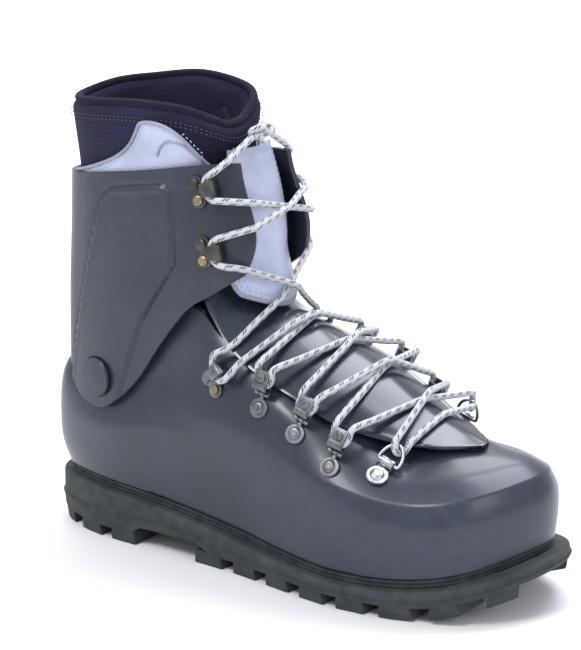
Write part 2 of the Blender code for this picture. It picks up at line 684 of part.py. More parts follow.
def build_hardware(shell_tree, cuff_tree, paints):
    """All lace pieces, each on a frame of its own; returns the frames for the lace."""
    frames = {}
    for name, side in SIDES.items():
        for number, (spot, towards) in enumerate(GUIDES[name], 1):
            frame = seat(shell_tree, spot, towards, side, SEAT_LIFT)
            tag = f"{name}_{number}"
            hinge = Matrix.Translation((HINGE_X, 0, HINGE_Z))
            raised = frame @ hinge @ Matrix.Rotation(-BRACKET_TILT, 4, "Y") @ hinge.inverted()
            frames["guide", name, number] = raised
            add_object(f"guide_base_{tag}", moved(guide_base(), frame), paints["steel"])
            add_object(f"guide_bracket_{tag}", moved(guide_bracket(), raised), paints["steel"],
                       (frame @ hinge).translation)
            add_object(f"guide_roller_{tag}", moved(guide_roller(), raised), paints["steel"],
                       raised @ Vector((PIN_X, 0, LACE_Z)))
        frame = seat(shell_tree, *RINGS[name], side, SEAT_LIFT)
        frames["ring", name] = frame
        add_object(f"ring_base_{name}", moved(ring_base(), frame), paints["nickel"])
        ring_wire(f"d_ring_{name}", frame, paints["nickel"])
        frame = seat(shell_tree, *LOCK_HOOKS[name], side, SEAT_LIFT)
        frames["lock", name] = frame
        add_hook(f"locking_hook_{name}", frame, 13.0, 8.0, 5.0, side, paints["steel"], paints)
        for number, (spot, towards) in enumerate(CUFF_HOOKS, 1):
            frame = seat(cuff_tree, spot, towards, side, SEAT_LIFT)
            frames["cuff", name, number] = frame
            add_hook(f"cuff_hook_{name}_{number}", frame, 13.0, 9.0, 5.0, side, paints["bronze"], paints)
    return frames


# ---------------------------------------------------------------- lace
def guide_turn(frame, side, from_ankle):
    """The lace round a guide's roller, from the ankle's strand to the toe's or back."""
    points = []
    for degrees in (78, 112, 146, 180, 214, 248, 282):
        angle = math.radians(degrees)
        points.append((PIN_X + LOOP_RADIUS * math.cos(angle), -side * LOOP_RADIUS * math.sin(angle), LACE_Z))
    points = [(24.5, points[0][1] * 1.1, LACE_Z + 0.4), *points,
              (24.5, points[-1][1] * 1.1, LACE_Z + 0.4)]
    turn = [frame @ Vector(p) for p in points]
    return turn if from_ankle else turn[::-1]


def hook_turn(frame, side, from_top):
    """The lace behind a hook's neck, from its upper side to its lower side or back."""
    outline = [(15.5, 8.2, 6.0), (11.5, 7.2, 4.9), (8.4, 5.4, 4.0), (7.3, 2.8, 3.75), (7.1, 0, 3.75)]
    outline += [(x, -y, z) for x, y, z in outline[-2::-1]]
    turn = [frame @ Vector((x, -side * y, z)) for x, y, z in outline]
    return turn if from_top else turn[::-1]


def ring_turn(frame, side, from_ankle):
    """The lace over the ring's wire, through the ring and out below it."""
    reach = 11.0
    middle = Vector((9.4 + reach * math.cos(RING_TILT), 0, 2.4 + reach * math.sin(RING_TILT)))
    points = []
    for degrees, across in ((62, 2.8), (100, 2.3), (140, 1.2), (180, 0), (220, -1.2), (260, -2.3), (298, -2.8)):
        angle = math.radians(degrees)
        points.append(middle + Vector((3.8 * math.cos(angle), -side * across, 3.8 * math.sin(angle))))
    turn = [frame @ p for p in points]
    return turn if from_ankle else turn[::-1]


def drape(start, end, out, trees, laid):
    """Points of a strand pulled tight over the tongue and over the strands laid before it."""
    out = Vector(out).normalized()
    along = (end - start).normalized()
    across = along.cross(out).normalized()
    ahead = out.cross(across)
    reach = LACE_RADIUS + LACE_CLEAR
    pair = 2 * LACE_RADIUS + LACE_CLEAR
    prints = [(0.0, Vector((0, 0, 0)))]
    for ring in (0.5, 0.9):
        for k in range(8):
            angle = math.tau * k / 8
            prints.append((ring * reach, (across * math.cos(angle) + ahead * math.sin(angle)) * ring * reach))
    needs = [(0, 0.0)]
    for n in range(1, STRAND_STEPS):
        point = start.lerp(end, n / STRAND_STEPS)
        need = 0.0
        for distance, shift in prints:
            for tree in trees:
                hit = tree.ray_cast(point + shift + out * 70, -out, 82)[0]
                if hit is not None:
                    need = max(need, (hit - point).dot(out) + math.sqrt(reach ** 2 - distance ** 2))
        for other in laid:
            height = (other - point).dot(out)
            beside = (other - point - out * height).length
            if beside < pair:
                need = max(need, height + math.sqrt(pair ** 2 - beside ** 2))
        needs.append((n, need))
    needs.append((STRAND_STEPS, 0.0))
    tight = []
    for spot in needs:
        while len(tight) > 1 and bends_down(tight[-2], tight[-1], spot):
            tight.pop()
        tight.append(spot)
    points = []
    for (first, rise), (last, fall) in zip(tight, tight[1:]):
        parts = math.ceil((last - first) / STRAND_STEP)
        for k in range(parts):
            n = first + (last - first) * k / parts
            points.append(start.lerp(end, n / STRAND_STEPS) + out * (rise + (fall - rise) * k / parts))
    return points[1:]


def bends_down(a, b, c):
    """Whether the middle one of three spots lies below the line of the others, or just above it."""
    return b[1] < a[1] + (c[1] - a[1]) * (b[0] - a[0]) / (c[0] - a[0]) + 0.3


def build_lace(frames, trees, paints):
    """One lace: the crossings on the shell, the strands over the ankle, those on the cuff and the knot."""
    order = [("lock", "lateral"), ("guide", "medial", 1), ("guide", "lateral", 2), ("guide", "medial", 3),
             ("ring", "lateral"), ("ring", "medial"), ("guide", "lateral", 3), ("guide", "medial", 2),
             ("guide", "lateral", 1), ("lock", "medial")]
    turns = []
    for k, key in enumerate(order):
        side = SIDES[key[1]]
        towards_toe = k < 5
        if key[0] == "guide":
            turns.append(guide_turn(frames[key], side, towards_toe))
        elif key[0] == "ring":
            turns.append(ring_turn(frames[key], side, towards_toe))
        else:
            turns.append(hook_turn(frames[key], side, towards_toe))
    laid, strands = [], {}
    for k in (5, 6, 7, 8, 9, 4, 3, 2, 1):
        out = (0.4, 0, 1) if 2 < k < 8 else (0.6, 0, 1)
        strands[k] = drape(turns[k - 1][-1], turns[k][0], out, trees, laid)
        laid += spline([turns[k - 1][-1], *strands[k], turns[k][0]], 4)
    route = list(turns[0])
    for k in range(1, len(turns)):
        route += strands[k] + turns[k]
    lengths = [cord("lace_lower", route, LACE_RADIUS, paints["lace"])]
    knot = Vector((137.5, 0, 247.5))
    for name, side in SIDES.items():
        other = "medial" if name == "lateral" else "lateral"
        start = hook_turn(frames["lock", name], side, False)[-1]
        hook = hook_turn(frames["cuff", other, 2], -side, False)
        upper = hook_turn(frames["cuff", name, 1], side, False)
        ankle = drape(start, hook[0], (1, 0, 0.35), trees, laid)
        laid += spline([start, *ankle, hook[0]], 4)
        first = start.lerp(ankle[0], 0.3)
        last = hook[0].lerp(ankle[-1], 0.2)
        lengths.append(cord(f"lace_ankle_{name}", [first, *ankle, last], LACE_RADIUS, paints["lace"]))
        strand = drape(hook[-1], upper[0], (1, 0, 0.1), trees, laid)
        laid += spline([hook[-1], *strand, upper[0]], 4)
        end = knot + Vector((0, side * 11, -1))
        route = hook + strand + upper + drape(upper[-1], end, (1, 0, 0.2), trees, laid)[:-1] + [end]
        lengths.append(cord(f"lace_upper_{name}", route, LACE_RADIUS, paints["lace"]))
    lump = bmesh.new()
    size = Matrix.Translation(knot) @ Matrix.Diagonal((6.5, 10.2, 5.5, 1))
    bmesh.ops.create_uvsphere(lump, u_segments=14, v_segments=9, radius=1, matrix=size)
    add_object("lace_knot", lump, paints["lace"])
    return lengths


def add_hook(name, frame, hook_x, width, lip, side, paint, paints):
    """One hook with its two rivets, a steel one above and a brass one below."""
    spots = [(0, -side * 4.7), (0, side * 4.7)]
    add_object(name, moved(hook_plate(spots, hook_x, width, lip), frame), paint)
    for label, (x, y), look in (("a", spots[0], "steel"), ("b", spots[1], "brass")):
        place_at = frame @ Matrix.Translation((x, y, 1.6))
        add_object(f"{name}_rivet_{label}", moved(rivet(2.9, 1.5), place_at), paints[look])


# ---------------------------------------------------------------- main
def build():
    """Make every piece."""
    clear_scene()
    paints = {
        "shell": material("shell_plastic", (0.055, 0.066, 0.105), 0.38),
        "rubber": material("sole_rubber", (0.035, 0.045, 0.052), 0.75),
        "midsole": material("midsole_rubber", (0.02, 0.024, 0.03), 0.7),
        "board": material("insole_board", (0.12, 0.12, 0.13), 0.8),
        "liner": material("liner_fabric", (0.015, 0.014, 0.04), 0.9),
        "tongue": material("tongue_plastic", (0.06, 0.068, 0.12), 0.35),
        "panel": material("tongue_panel", (0.5, 0.52, 0.68), 0.5),
        "steel": material("steel", (0.32, 0.33, 0.34), 0.35, 1.0),
        "steel_dark": material("pivot_disc", (0.05, 0.06, 0.09), 0.4),
        "nickel": material("nickel", (0.6, 0.6, 0.62), 0.22, 1.0),
        "bronze": material("dark_bronze", (0.16, 0.15, 0.13), 0.4, 1.0),
        "brass": material("brass", (0.4, 0.3, 0.14), 0.35, 1.0),
        "lace": material("lace", (0.75, 0.76, 0.76), 0.85),
    }
    shell_rings = rings_from(SHELL, 2, 1)
    build_sole(shell_rings, paints)
    build_shell(shell_rings, paints)
    tongue = build_tongue(paints)
    cuff = build_cuff(paints)
    build_pivots(paints)
    build_collar(paints)
    cuff_tree = open_surface(cuff)
    shell_tree = surface(shell_rings)
    frames = build_hardware(shell_tree, cuff_tree, paints)
    trees = [shell_tree, cuff_tree] + [open_surface(grid) for grid in tongue]
    build_lace(frames, trees, paints)
    return frames


def open_surface(rings):
    """A ray-cast copy of rings that don't close."""
    count = len(rings[0])
    points = [p for ring in rings for p in ring]
    faces = []
    for k in range(len(rings) - 1):
        for i in range(count - 1):
            faces.append((k * count + i, k * count + i + 1, (k + 1) * count + i + 1, (k + 1) * count + i))
    return BVHTree.FromPolygons(points, faces)


build()
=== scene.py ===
"""Looks of a laced double mountaineering boot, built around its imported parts.

Sizes are in millimetres in the boot maker's own coordinates: x runs from the heel to the toe, y to the
inner side of the foot and z up from the ground. place() turns them into the frame's metres.
"""

import json
import math

import bmesh
import bpy
from bpy.props import FloatProperty, FloatVectorProperty, IntProperty, PointerProperty
from bpy.types import Operator, Panel, PropertyGroup
from mathutils import Matrix, Vector
from mathutils.bvhtree import BVHTree


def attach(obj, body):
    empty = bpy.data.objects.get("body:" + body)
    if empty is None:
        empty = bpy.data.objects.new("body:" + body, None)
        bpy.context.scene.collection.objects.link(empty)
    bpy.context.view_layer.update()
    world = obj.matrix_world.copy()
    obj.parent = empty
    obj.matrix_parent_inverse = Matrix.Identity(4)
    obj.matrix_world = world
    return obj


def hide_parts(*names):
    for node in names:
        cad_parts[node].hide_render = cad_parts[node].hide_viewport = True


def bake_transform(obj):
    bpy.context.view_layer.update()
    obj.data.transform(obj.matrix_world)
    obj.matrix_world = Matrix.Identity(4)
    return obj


bl_info = {
    "name": "Mountaineering boot",
    "version": (1, 0, 0),
    "blender": (4, 5, 0),
    "location": "View3D > Sidebar > Boot",
    "description": "Builds a laced double mountaineering boot round its packed parts",
    "category": "Object",
}

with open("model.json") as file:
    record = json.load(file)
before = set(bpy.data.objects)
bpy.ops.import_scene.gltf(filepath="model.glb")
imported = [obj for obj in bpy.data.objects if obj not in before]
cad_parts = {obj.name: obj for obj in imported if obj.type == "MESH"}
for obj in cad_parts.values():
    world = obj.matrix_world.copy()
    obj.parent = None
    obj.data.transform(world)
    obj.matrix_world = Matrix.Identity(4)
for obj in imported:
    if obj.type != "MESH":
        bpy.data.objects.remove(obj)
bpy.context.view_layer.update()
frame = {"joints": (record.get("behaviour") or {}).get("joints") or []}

# ---------------------------------------------------------------- sizes that the boot hangs on
MM = 0.001
CENTRE = Vector((162.5, 0.5, 0.0))
TO_FRAME = Matrix.Scale(MM, 4) @ Matrix.Translation(-CENTRE)
PIVOT = Vector((48.0, 0.0, 101.0))
PIVOT_TILT = math.radians(16)
WELT_DEPTH = 5.2
LUG_DEPTH = 8.0
SIDES = {"lateral": -1, "medial": 1}
HINGE_X, HINGE_Z = 8.3, 1.7
PIN_X, LACE_Z = 17.9, 4.5
LOOP_RADIUS = 4.8
BRACKET_TILT = math.radians(8)
RING_HINGE = Vector((9.4, 0, 2.4))
RING_TILT = math.radians(30)
RING_REACH = 11.0
STRAND_STEPS, STRAND_STEP = 20, 4

# Shell columns, one per station round the foot, from the bottom edge to the rim.
SHELL = [
    [(3, 0, 37), (-2, 0, 52), (-2, 0, 72), (0, 0, 92), (3.5, 0, 101), (12, 0, 106), (15.5, 0, 118), (22, 0, 129)],
    [(12, -21, 37), (8, -23, 52), (8, -24, 72), (10, -24, 88), (14, -22, 98), (22, -17.5, 104), (25, -17, 118),
     (30, -17, 130)],
    [(46, -35, 37), (45, -37, 54), (45, -38, 69), (46, -36, 79), (47, -34, 89), (48, -33.5, 104),
     (50, -33, 122), (52, -31, 139)],
    [(97, -39, 33), (97, -43, 53), (98, -45, 74), (99, -42, 91), (100, -38, 105), (102, -36, 118),
     (105, -34.5, 134), (110, -32, 150)],
    [(148, -44, 27), (148, -49, 47), (149, -52, 68), (149, -52, 86), (147, -49, 100), (144, -44.5, 113),
     (139, -39.5, 125), (134, -34, 135)],
    [(183, -51, 23), (183, -55, 43), (184, -57, 64), (184, -56, 80), (183, -53, 93), (181, -49, 104),
     (178, -43, 112), (174, -36, 119)],
    [(220, -57, 21), (220, -61, 40), (220, -62, 58), (220, -60, 72), (218, -53, 82), (216, -46, 90),
     (212, -39, 97), (207, -31, 104)],
    [(262, -53, 23), (262, -56, 40), (262, -57, 54), (261, -53, 66), (257, -44, 74), (252, -35, 79),
     (246, -26, 84), (240, -18, 89)],
    [(296, -39, 30), (297, -41, 46), (297, -41, 59), (295, -37, 71), (287, -29, 78), (278, -20, 82),
     (269, -12, 85), (261, -6, 87)],
    [(321, 4, 39), (322, 4, 54), (321, 4, 67), (316, 4, 77), (306, 4, 82), (294, 4, 84), (281, 4, 85),
     (268, 4, 87)],
    [(302, 42, 32), (303, 44, 47), (303, 44, 60), (300, 40, 71), (291, 32, 78), (281, 24, 82), (271, 17, 86),
     (262, 12, 88)],
    [(272, 51, 24), (272, 54, 41), (272, 55, 56), (270, 51, 68), (264, 43, 76), (257, 36, 82), (250, 28, 87),
     (242, 21, 92)],
    [(238, 54, 22), (238, 58, 41), (238, 59, 58), (236, 56, 73), (232, 50, 84), (227, 44, 93), (220, 38, 100),
     (212, 32, 107)],
    [(197, 48, 24), (197, 53, 44), (198, 55, 64), (198, 55, 82), (195, 52, 97), (191, 48, 108), (185, 43, 116),
     (178, 36, 122)],
    [(152, 39, 28), (152, 45, 48), (153, 48, 68), (153, 49, 88), (150, 47, 104), (146, 43.5, 117),
     (142, 39, 127), (136, 34, 137)],
    [(105, 35, 33), (105, 40, 53), (106, 43, 74), (106, 41, 91), (106, 38, 105), (107, 36, 118),
     (110, 34.5, 134), (113, 32, 151)],
    [(48, 33, 37), (47, 36, 54), (47, 38, 69), (47, 36, 79), (48, 34, 89), (49, 33.5, 104), (51, 33, 122),
     (53, 31, 139)],
    [(13, 20, 37), (8, 23, 52), (8, 24, 72), (10, 24, 88), (14, 22, 98), (22, 17.5, 104), (25, 17, 118),
     (30, 17, 130)],
]
CREASE_ROW = 3                            # the row where the toe box turns from wall to top
CREASE_SHARE = (0, 0, 0, 0, 0, 0.3, 0.7, 0.9, 1, 0.8, 1, 0.9, 0.7, 0.3, 0, 0, 0, 0)

# Cuff columns from one front edge to the heel: plan points at four heights, then lower and upper edge.
CUFF_LEVELS = (100, 150, 190, 232)
CUFF = [
    [(128, 41), (137, 39), (153, 30), (142, 27), 173, 235],
    [(121, 42), (127, 41), (137, 37), (129, 33), 161, 234],
    [(112, 42.5), (114, 42), (118, 40), (114, 37), 151, 232],
    [(96, 43), (97, 42.5), (98, 41), (96, 39), 130, 229],
    [(75, 42), (75, 42), (76, 41), (77, 39), 101, 226],
    [(52, 40.5), (53, 40), (55, 39), (56, 37), 83, 223],
    [(30, 34.5), (32, 34), (34, 33), (36, 32), 88, 220],
    [(15, 24.5), (16, 24), (17, 22), (18, 21), 109, 218],
    [(6.5, 0), (7, 0), (7.5, 0), (9, 0), 117, 217],
]
# Raised plate on the cuff's side: x of its front and rear edge at rising heights.
PLATE_FRONT = [(80, 58), (93, 64), (140, 81), (176, 104), (200, 103), (240, 98)]
PLATE_REAR = [(80, 20), (110, 24), (143, 33), (187, 45), (218, 57), (240, 62)]

# Padded collar: plan points of its outer face at three heights, then the rim's height on the outer and the
# inner side of the foot.
COLLAR_LEVELS = (166, 215, 262)
COLLAR_BOTTOM = 160
COLLAR_SEAMS = (207.0, 246.0)   # heights of the sewn lines round the collar
SEAT_LIFT = 0.9         # riveted hardware stands this far off the wall
STRAND_GAP = 0.9        # room between one strand of the lace and the next
LACE_FINENESS = 8       # points on the lace's spline between two of its route
COLLAR = [
    [(14, 0), (15, 0), (10, 0), 256, 256],
    [(22, 18), (24, 18), (20, 20), 256, 261],
    [(40, 28), (42, 28), (40, 32), 257, 264],
    [(75, 35), (76, 33), (76, 36), 259, 268],
    [(104, 33), (104, 31), (108, 34), 258, 264],
    [(122, 24), (117, 23), (122, 25), 253, 258],
    [(129, 10), (120, 10), (126, 10), 248, 250],
    [(130, 0), (121, 0), (127, 0), 248, 248],
]
SIDE_PANEL_EDGE = [(26, 219), (45, 225), (62, 232), (73, 240), (79, 249), (82, 253.5), (90, 254.5), (99, 252.5),
                   (107, 247.5), (113, 240), (118, 231)]

# Tongue: outer edge, ridge and inner edge of each cross-section, from the toe back.
TONGUE = [
    [(281, -1, 88), (282, 4, 88.5), (280, 9, 88.5)],
    [(264, -18, 89), (268, 4, 93), (267, 20, 90.5)],
    [(245, -29, 91), (248, 3, 102), (249, 32, 93)],
    [(214, -41.5, 99.5), (222, 2, 118), (223, 42, 103)],
    [(189, -45, 111), (196, 2, 131), (198, 45, 115.5)],
    [(163, -44.5, 121.5), (171, 1, 142), (170, 44.5, 125.5)],
    [(143.5, -41.3, 132.2), (151, 0, 151), (147.5, 41.3, 135.2)],
    [(129, -37, 146), (140, 0, 164), (130, 37, 148)],
    [(121, -35, 157), (139, 0, 168), (122, 35, 158)],
]
# Silver panel of the tongue: half width, x of the ridge and height.
PANEL = [(15, 153, 152), (27, 149, 160), (30, 145, 171), (30, 143, 180), (28, 143, 188), (27, 142, 200),
         (24, 139, 216), (22, 135, 230), (20, 132, 240)]

# Places of the riveted pieces: x and z of the rivet, then of the point that they face.
LOCK_HOOKS = {"lateral": ((133, 111), (143, 122)), "medial": ((135, 113), (146, 125))}
CUFF_HOOKS = [((119, 218), (132, 222)), ((124.5, 185), (138, 187))]
RINGS = {"lateral": ((242, 77), (247, 87)), "medial": ((244, 79), (249, 90))}
KNOT = Vector((137.5, 0, 247.5))


# ---------------------------------------------------------------- sizes and colours that a user changes
class BOOT_PG_plastic(PropertyGroup):
    """Shell, cuff and tongue."""

    shell_colour: FloatVectorProperty(name="Shell colour", description="Colour of the moulded shell and cuff",
                                      subtype="COLOR", size=3, min=0, max=1, default=(0.019, 0.024, 0.040))
    tongue_colour: FloatVectorProperty(name="Tongue colour", description="Colour of the glossy tongue",
                                       subtype="COLOR", size=3, min=0, max=1, default=(0.015, 0.019, 0.034))
    shell_wall: FloatProperty(name="Shell wall", description="Thickness of the shell's rim", unit="LENGTH",
                              default=3.4 * MM, min=1 * MM, max=6 * MM)
    cuff_wall: FloatProperty(name="Cuff wall", description="Thickness of the cuff", unit="LENGTH",
                             default=2.6 * MM, min=1 * MM, max=5 * MM)
    plate_height: FloatProperty(name="Plate height", description="How far the cuff's side plate stands proud",
                                unit="LENGTH", default=1.2 * MM, min=0, max=3 * MM)


class BOOT_PG_soft(PropertyGroup):
    """Padded inner boot and the tongue's panel."""

    knit_colour: FloatVectorProperty(name="Knit colour", description="Colour of the collar's knitted fabric",
                                     subtype="COLOR", size=3, min=0, max=1, default=(0.006, 0.0055, 0.016))
    silver_colour: FloatVectorProperty(name="Panel colour", description="Colour of the coated silver panels",
                                       subtype="COLOR", size=3, min=0, max=1, default=(0.42, 0.45, 0.58))
    collar_pad: FloatProperty(name="Collar pad", description="Thickness of the padded collar", unit="LENGTH",
                              default=10 * MM, min=4 * MM, max=14 * MM)
    pad_pressure: FloatProperty(name="Pad pressure", description="Pressure of the foam in the cloth simulation",
                                default=4.0, min=0, max=20)
    stitch_length: FloatProperty(name="Stitch length", description="Length of one seam stitch", unit="LENGTH",
                                 default=2.4 * MM, min=1 * MM, max=6 * MM)


class BOOT_PG_lacing(PropertyGroup):
    """Lace and metal pieces."""

    lace_radius: FloatProperty(name="Lace radius", description="Half the lace's thickness", unit="LENGTH",
                               default=1.95 * MM, min=1 * MM, max=3 * MM)
    fleck_pitch: FloatProperty(name="Fleck pitch", description="Distance between rows of dark flecks",
                               unit="LENGTH", default=7.5 * MM, min=3 * MM, max=20 * MM)
    wire_radius: FloatProperty(name="Ring wire", description="Radius of the rings' wire", unit="LENGTH",
                               default=1.0 * MM, min=0.5 * MM, max=2 * MM)
    turn_segments: IntProperty(name="Turn segments", description="Segments of a turned metal piece",
                               default=32, min=12, max=64)


class BOOT_PG_sole(PropertyGroup):
    """Rubber sole."""

    rubber_colour: FloatVectorProperty(name="Rubber colour", description="Colour of the outsole",
                                       subtype="COLOR", size=3, min=0, max=1, default=(0.020, 0.026, 0.030))
    toe_reach: FloatProperty(name="Toe reach", description="Extra ledge at the toe for a crampon bail",
                             unit="LENGTH", default=4.5 * MM, min=0, max=8 * MM)
    side_reach: FloatProperty(name="Side reach", description="How far the sole stands out past the shell",
                              unit="LENGTH", default=3.5 * MM, min=0, max=6 * MM)
    lug_bevel: FloatProperty(name="Lug bevel", description="Rounding of the lugs' edges", unit="LENGTH",
                             default=0.9 * MM, min=0.2 * MM, max=2 * MM)


class BOOT_PG_settings(PropertyGroup):
    """Everything that a user changes."""

    plastic: PointerProperty(type=BOOT_PG_plastic)
    soft: PointerProperty(type=BOOT_PG_soft)
    lacing: PointerProperty(type=BOOT_PG_lacing)
    sole: PointerProperty(type=BOOT_PG_sole)


def settings():
    """The scene's settings."""
    return bpy.context.scene.boot_settings


def in_mm(length):
    """A setting's metres as millimetres."""
    return length / MM


# ---------------------------------------------------------------- curves and skins
def ease(t):
    """Smooth step from 0 to 1."""
    t = min(max(t, 0.0), 1.0)
    return t * t * (3 - 2 * t)


def along_line(value, line):
    """Straight interpolation in a rising list of (position, value) pairs."""
    if value <= line[0][0]:
        return line[0][1]
    for (a, p), (b, q) in zip(line, line[1:]):
        if value <= b:
            return p + (q - p) * (value - a) / (b - a)
    return line[-1][1]


def spline(points, per, closed=False):
    """Catmull-Rom curve through points, with per samples to a span."""
    knots = [Vector(p) for p in points]
    count = len(knots)
    found = []
    for i in range(count if closed else count - 1):
        if closed:
            a, b, c, d = (knots[(i + k) % count] for k in (-1, 0, 1, 2))
        else:
            a, b, c, d = (knots[min(max(i + k, 0), count - 1)] for k in (-1, 0, 1, 2))
        for k in range(per):
            t = k / per
            found.append(0.5 * (2 * b + (c - a) * t + (2 * a - 5 * b + 4 * c - d) * t * t
                                + (3 * b - a - 3 * c + d) * t ** 3))
    if not closed:
        found.append(knots[-1])
    return found


def creased(column, per, share):
    """A shell column whose curve breaks at the crease row, by a share from 0 to 1."""
    whole = spline(column, per)
    broken = spline(column[:CREASE_ROW + 1], per)[:-1] + spline(column[CREASE_ROW:], per)
    return [a.lerp(b, share) for a, b in zip(whole, broken)]


def rings_across(columns, per, closed=True):
    """Rings round the foot through columns of points, bottom to top."""
    return [spline([column[k] for column in columns], per, closed) for k in range(len(columns[0]))]


def skin_normals(rings, closed=True):
    """Outward normal at every point of a set of rings."""
    found = []
    for k, ring in enumerate(rings):
        low, high = rings[max(k - 1, 0)], rings[min(k + 1, len(rings) - 1)]
        count = len(ring)
        line = []
        for i in range(count):
            if closed:
                along = ring[(i + 1) % count] - ring[i - 1]
            else:
                along = ring[min(i + 1, count - 1)] - ring[max(i - 1, 0)]
            line.append(along.cross(high[i] - low[i]).normalized())
        found.append(line)
    return found


def offset(rings, distance, closed=True):
    """The rings moved along their normals."""
    normals = skin_normals(rings, closed)
    return [[p + n * distance for p, n in zip(ring, line)] for ring, line in zip(rings, normals)]


def outward(ring, i):
    """Outward direction of a ring in plan."""
    along = ring[(i + 1) % len(ring)] - ring[i - 1]
    return Vector((along.y, -along.x, 0)).normalized()


def widened(ring, distance):
    """A ring moved outwards in plan, by a distance or by a function of its points."""
    return [p + outward(ring, i) * (distance(p) if callable(distance) else distance) for i, p in enumerate(ring)]


def skin(rings, closed=True, cap_low=False, cap_high=False):
    """A grid laid over rings, with a seam welded where they close, and with its ends filled on request."""
    mesh = bmesh.new()
    mesh.loops.layers.uv.new("UVMap")
    rows = len(rings) - 1
    count = len(rings[0]) - (0 if closed else 1)
    bmesh.ops.create_grid(mesh, x_segments=count, y_segments=rows, size=0.5, calc_uvs=True)
    low, high = [], []
    for vertex in mesh.verts:
        i, k = round((vertex.co.x + 0.5) * count), round((vertex.co.y + 0.5) * rows)
        vertex.co = rings[k][i % len(rings[k])]
        if k == 0:
            low.append(vertex)
        if k == rows:
            high.append(vertex)
    ends = [(low, cap_low), (high, cap_high)]
    for line, wanted in ends:
        if wanted:
            edges = {e for v in line for e in v.link_edges if e.is_boundary and e.other_vert(v) in line}
            bmesh.ops.contextual_create(mesh, geom=list(edges))
    if closed:
        bmesh.ops.remove_doubles(mesh, verts=mesh.verts, dist=1e-4)
    return mesh


def carried(path, closed=False):
    """Directions square to a path that turn with it as little as they can."""
    count = len(path)
    normal, found = None, []
    for k in range(count):
        ahead = path[(k + 1) % count] if closed else path[min(k + 1, count - 1)]
        tangent = (ahead - (path[k - 1] if closed or k else path[0])).normalized()
        normal = tangent.orthogonal() if normal is None else normal
        normal = (normal - tangent * normal.dot(tangent)).normalized()
        found.append(normal)
    return found


def tube(path, radius, sides=12, closed=False, normals=None, start=0.0, up=None):
    """A round cord along a path; V of its UV map is its length in metres."""
    count = len(path)
    normals = normals or ([Vector(up)] * count if up is not None else carried(path, closed))
    rings, lengths = [], [start]
    for k, (point, normal) in enumerate(zip(path, normals)):
        ahead = path[(k + 1) % count] if closed else path[min(k + 1, count - 1)]
        tangent = (ahead - (path[k - 1] if closed or k else path[0])).normalized()
        normal = (normal - tangent * normal.dot(tangent)).normalized()
        side = tangent.cross(normal)
        rings.append([point + (normal * math.cos(a) + side * math.sin(a)) * radius
                      for a in (math.tau * n / sides for n in range(sides))])
        lengths.append(lengths[-1] + (ahead - point).length * MM)
    if closed:
        rings.append(rings[0])
    mesh = skin(rings, closed=True, cap_low=not closed, cap_high=not closed)
    layer = mesh.loops.layers.uv.active
    rows = len(rings) - 1
    for face in mesh.faces:
        for loop in face.loops:
            mark = loop[layer].uv
            mark.y = lengths[min(round(mark.y * rows), rows)]
    bmesh.ops.recalc_face_normals(mesh, faces=mesh.faces)
    return mesh


def facing(mesh, outside):
    """A sheet whose faces look away from a centre, or from the leg's middle line where outside is True."""
    mesh.normal_update()
    centre = Vector((72, 0, 0)) if outside is True else Vector(outside)
    total = 0.0
    for face in mesh.faces:
        away = face.calc_center_median() - centre
        if outside is True:
            away.z = 0
        total += face.normal.dot(away.normalized()) * face.calc_area()
    if total < 0:
        bmesh.ops.reverse_faces(mesh, faces=mesh.faces[:])
    return mesh


def sharp_edges(mesh, degrees=40):
    """Edges where two faces meet at more than an angle."""
    limit = math.radians(degrees)
    return [e for e in mesh.edges if e.is_manifold and e.calc_face_angle(0) > limit]


def rounded(mesh, width, segments=2, degrees=40):
    """The mesh with its sharp edges bevelled."""
    bmesh.ops.bevel(mesh, geom=sharp_edges(mesh, degrees), offset=width, offset_type="OFFSET", affect="EDGES",
                    segments=segments, profile=0.5, material=-1, clamp_overlap=True)
    return mesh


def block(low, high, bevel=0.25, segments=2):
    """A block between two corners with rounded edges."""
    mesh = bmesh.new()
    mesh.loops.layers.uv.new("UVMap")
    low, high = Vector(low), Vector(high)
    bmesh.ops.create_cube(mesh, size=1, calc_uvs=True,
                          matrix=Matrix.Translation((low + high) / 2) @ Matrix.Diagonal((*(high - low), 1)))
    return rounded(mesh, bevel, segments)


def turned(profile, segments=None):
    """A solid of revolution about Z from (radius, height) points, bottom to top."""
    segments = segments or settings().lacing.turn_segments
    mesh = bmesh.new()
    mesh.loops.layers.uv.new("UVMap")
    knots = [mesh.verts.new((r, 0, z)) for r, z in profile]
    edges = [mesh.edges.new(pair) for pair in zip(knots, knots[1:])]
    bmesh.ops.spin(mesh, geom=knots + edges, cent=(0, 0, 0), axis=(0, 0, 1), angle=math.tau,
                   steps=segments, use_merge=True)
    bmesh.ops.remove_doubles(mesh, verts=mesh.verts, dist=1e-4)
    bmesh.ops.recalc_face_normals(mesh, faces=mesh.faces)
    return mesh


def rod(centre, axis, radius, length, bevel=0.2):
    """A cylinder about a point, with rounded ends."""
    half = length / 2
    mesh = turned([(0, -half), (radius - bevel, -half), (radius, -half + bevel), (radius, half - bevel),
                   (radius - bevel, half), (0, half)], 20)
    turn = Vector(axis).to_track_quat("Z", "Y").to_matrix().to_4x4()
    return moved(mesh, Matrix.Translation(centre) @ turn)


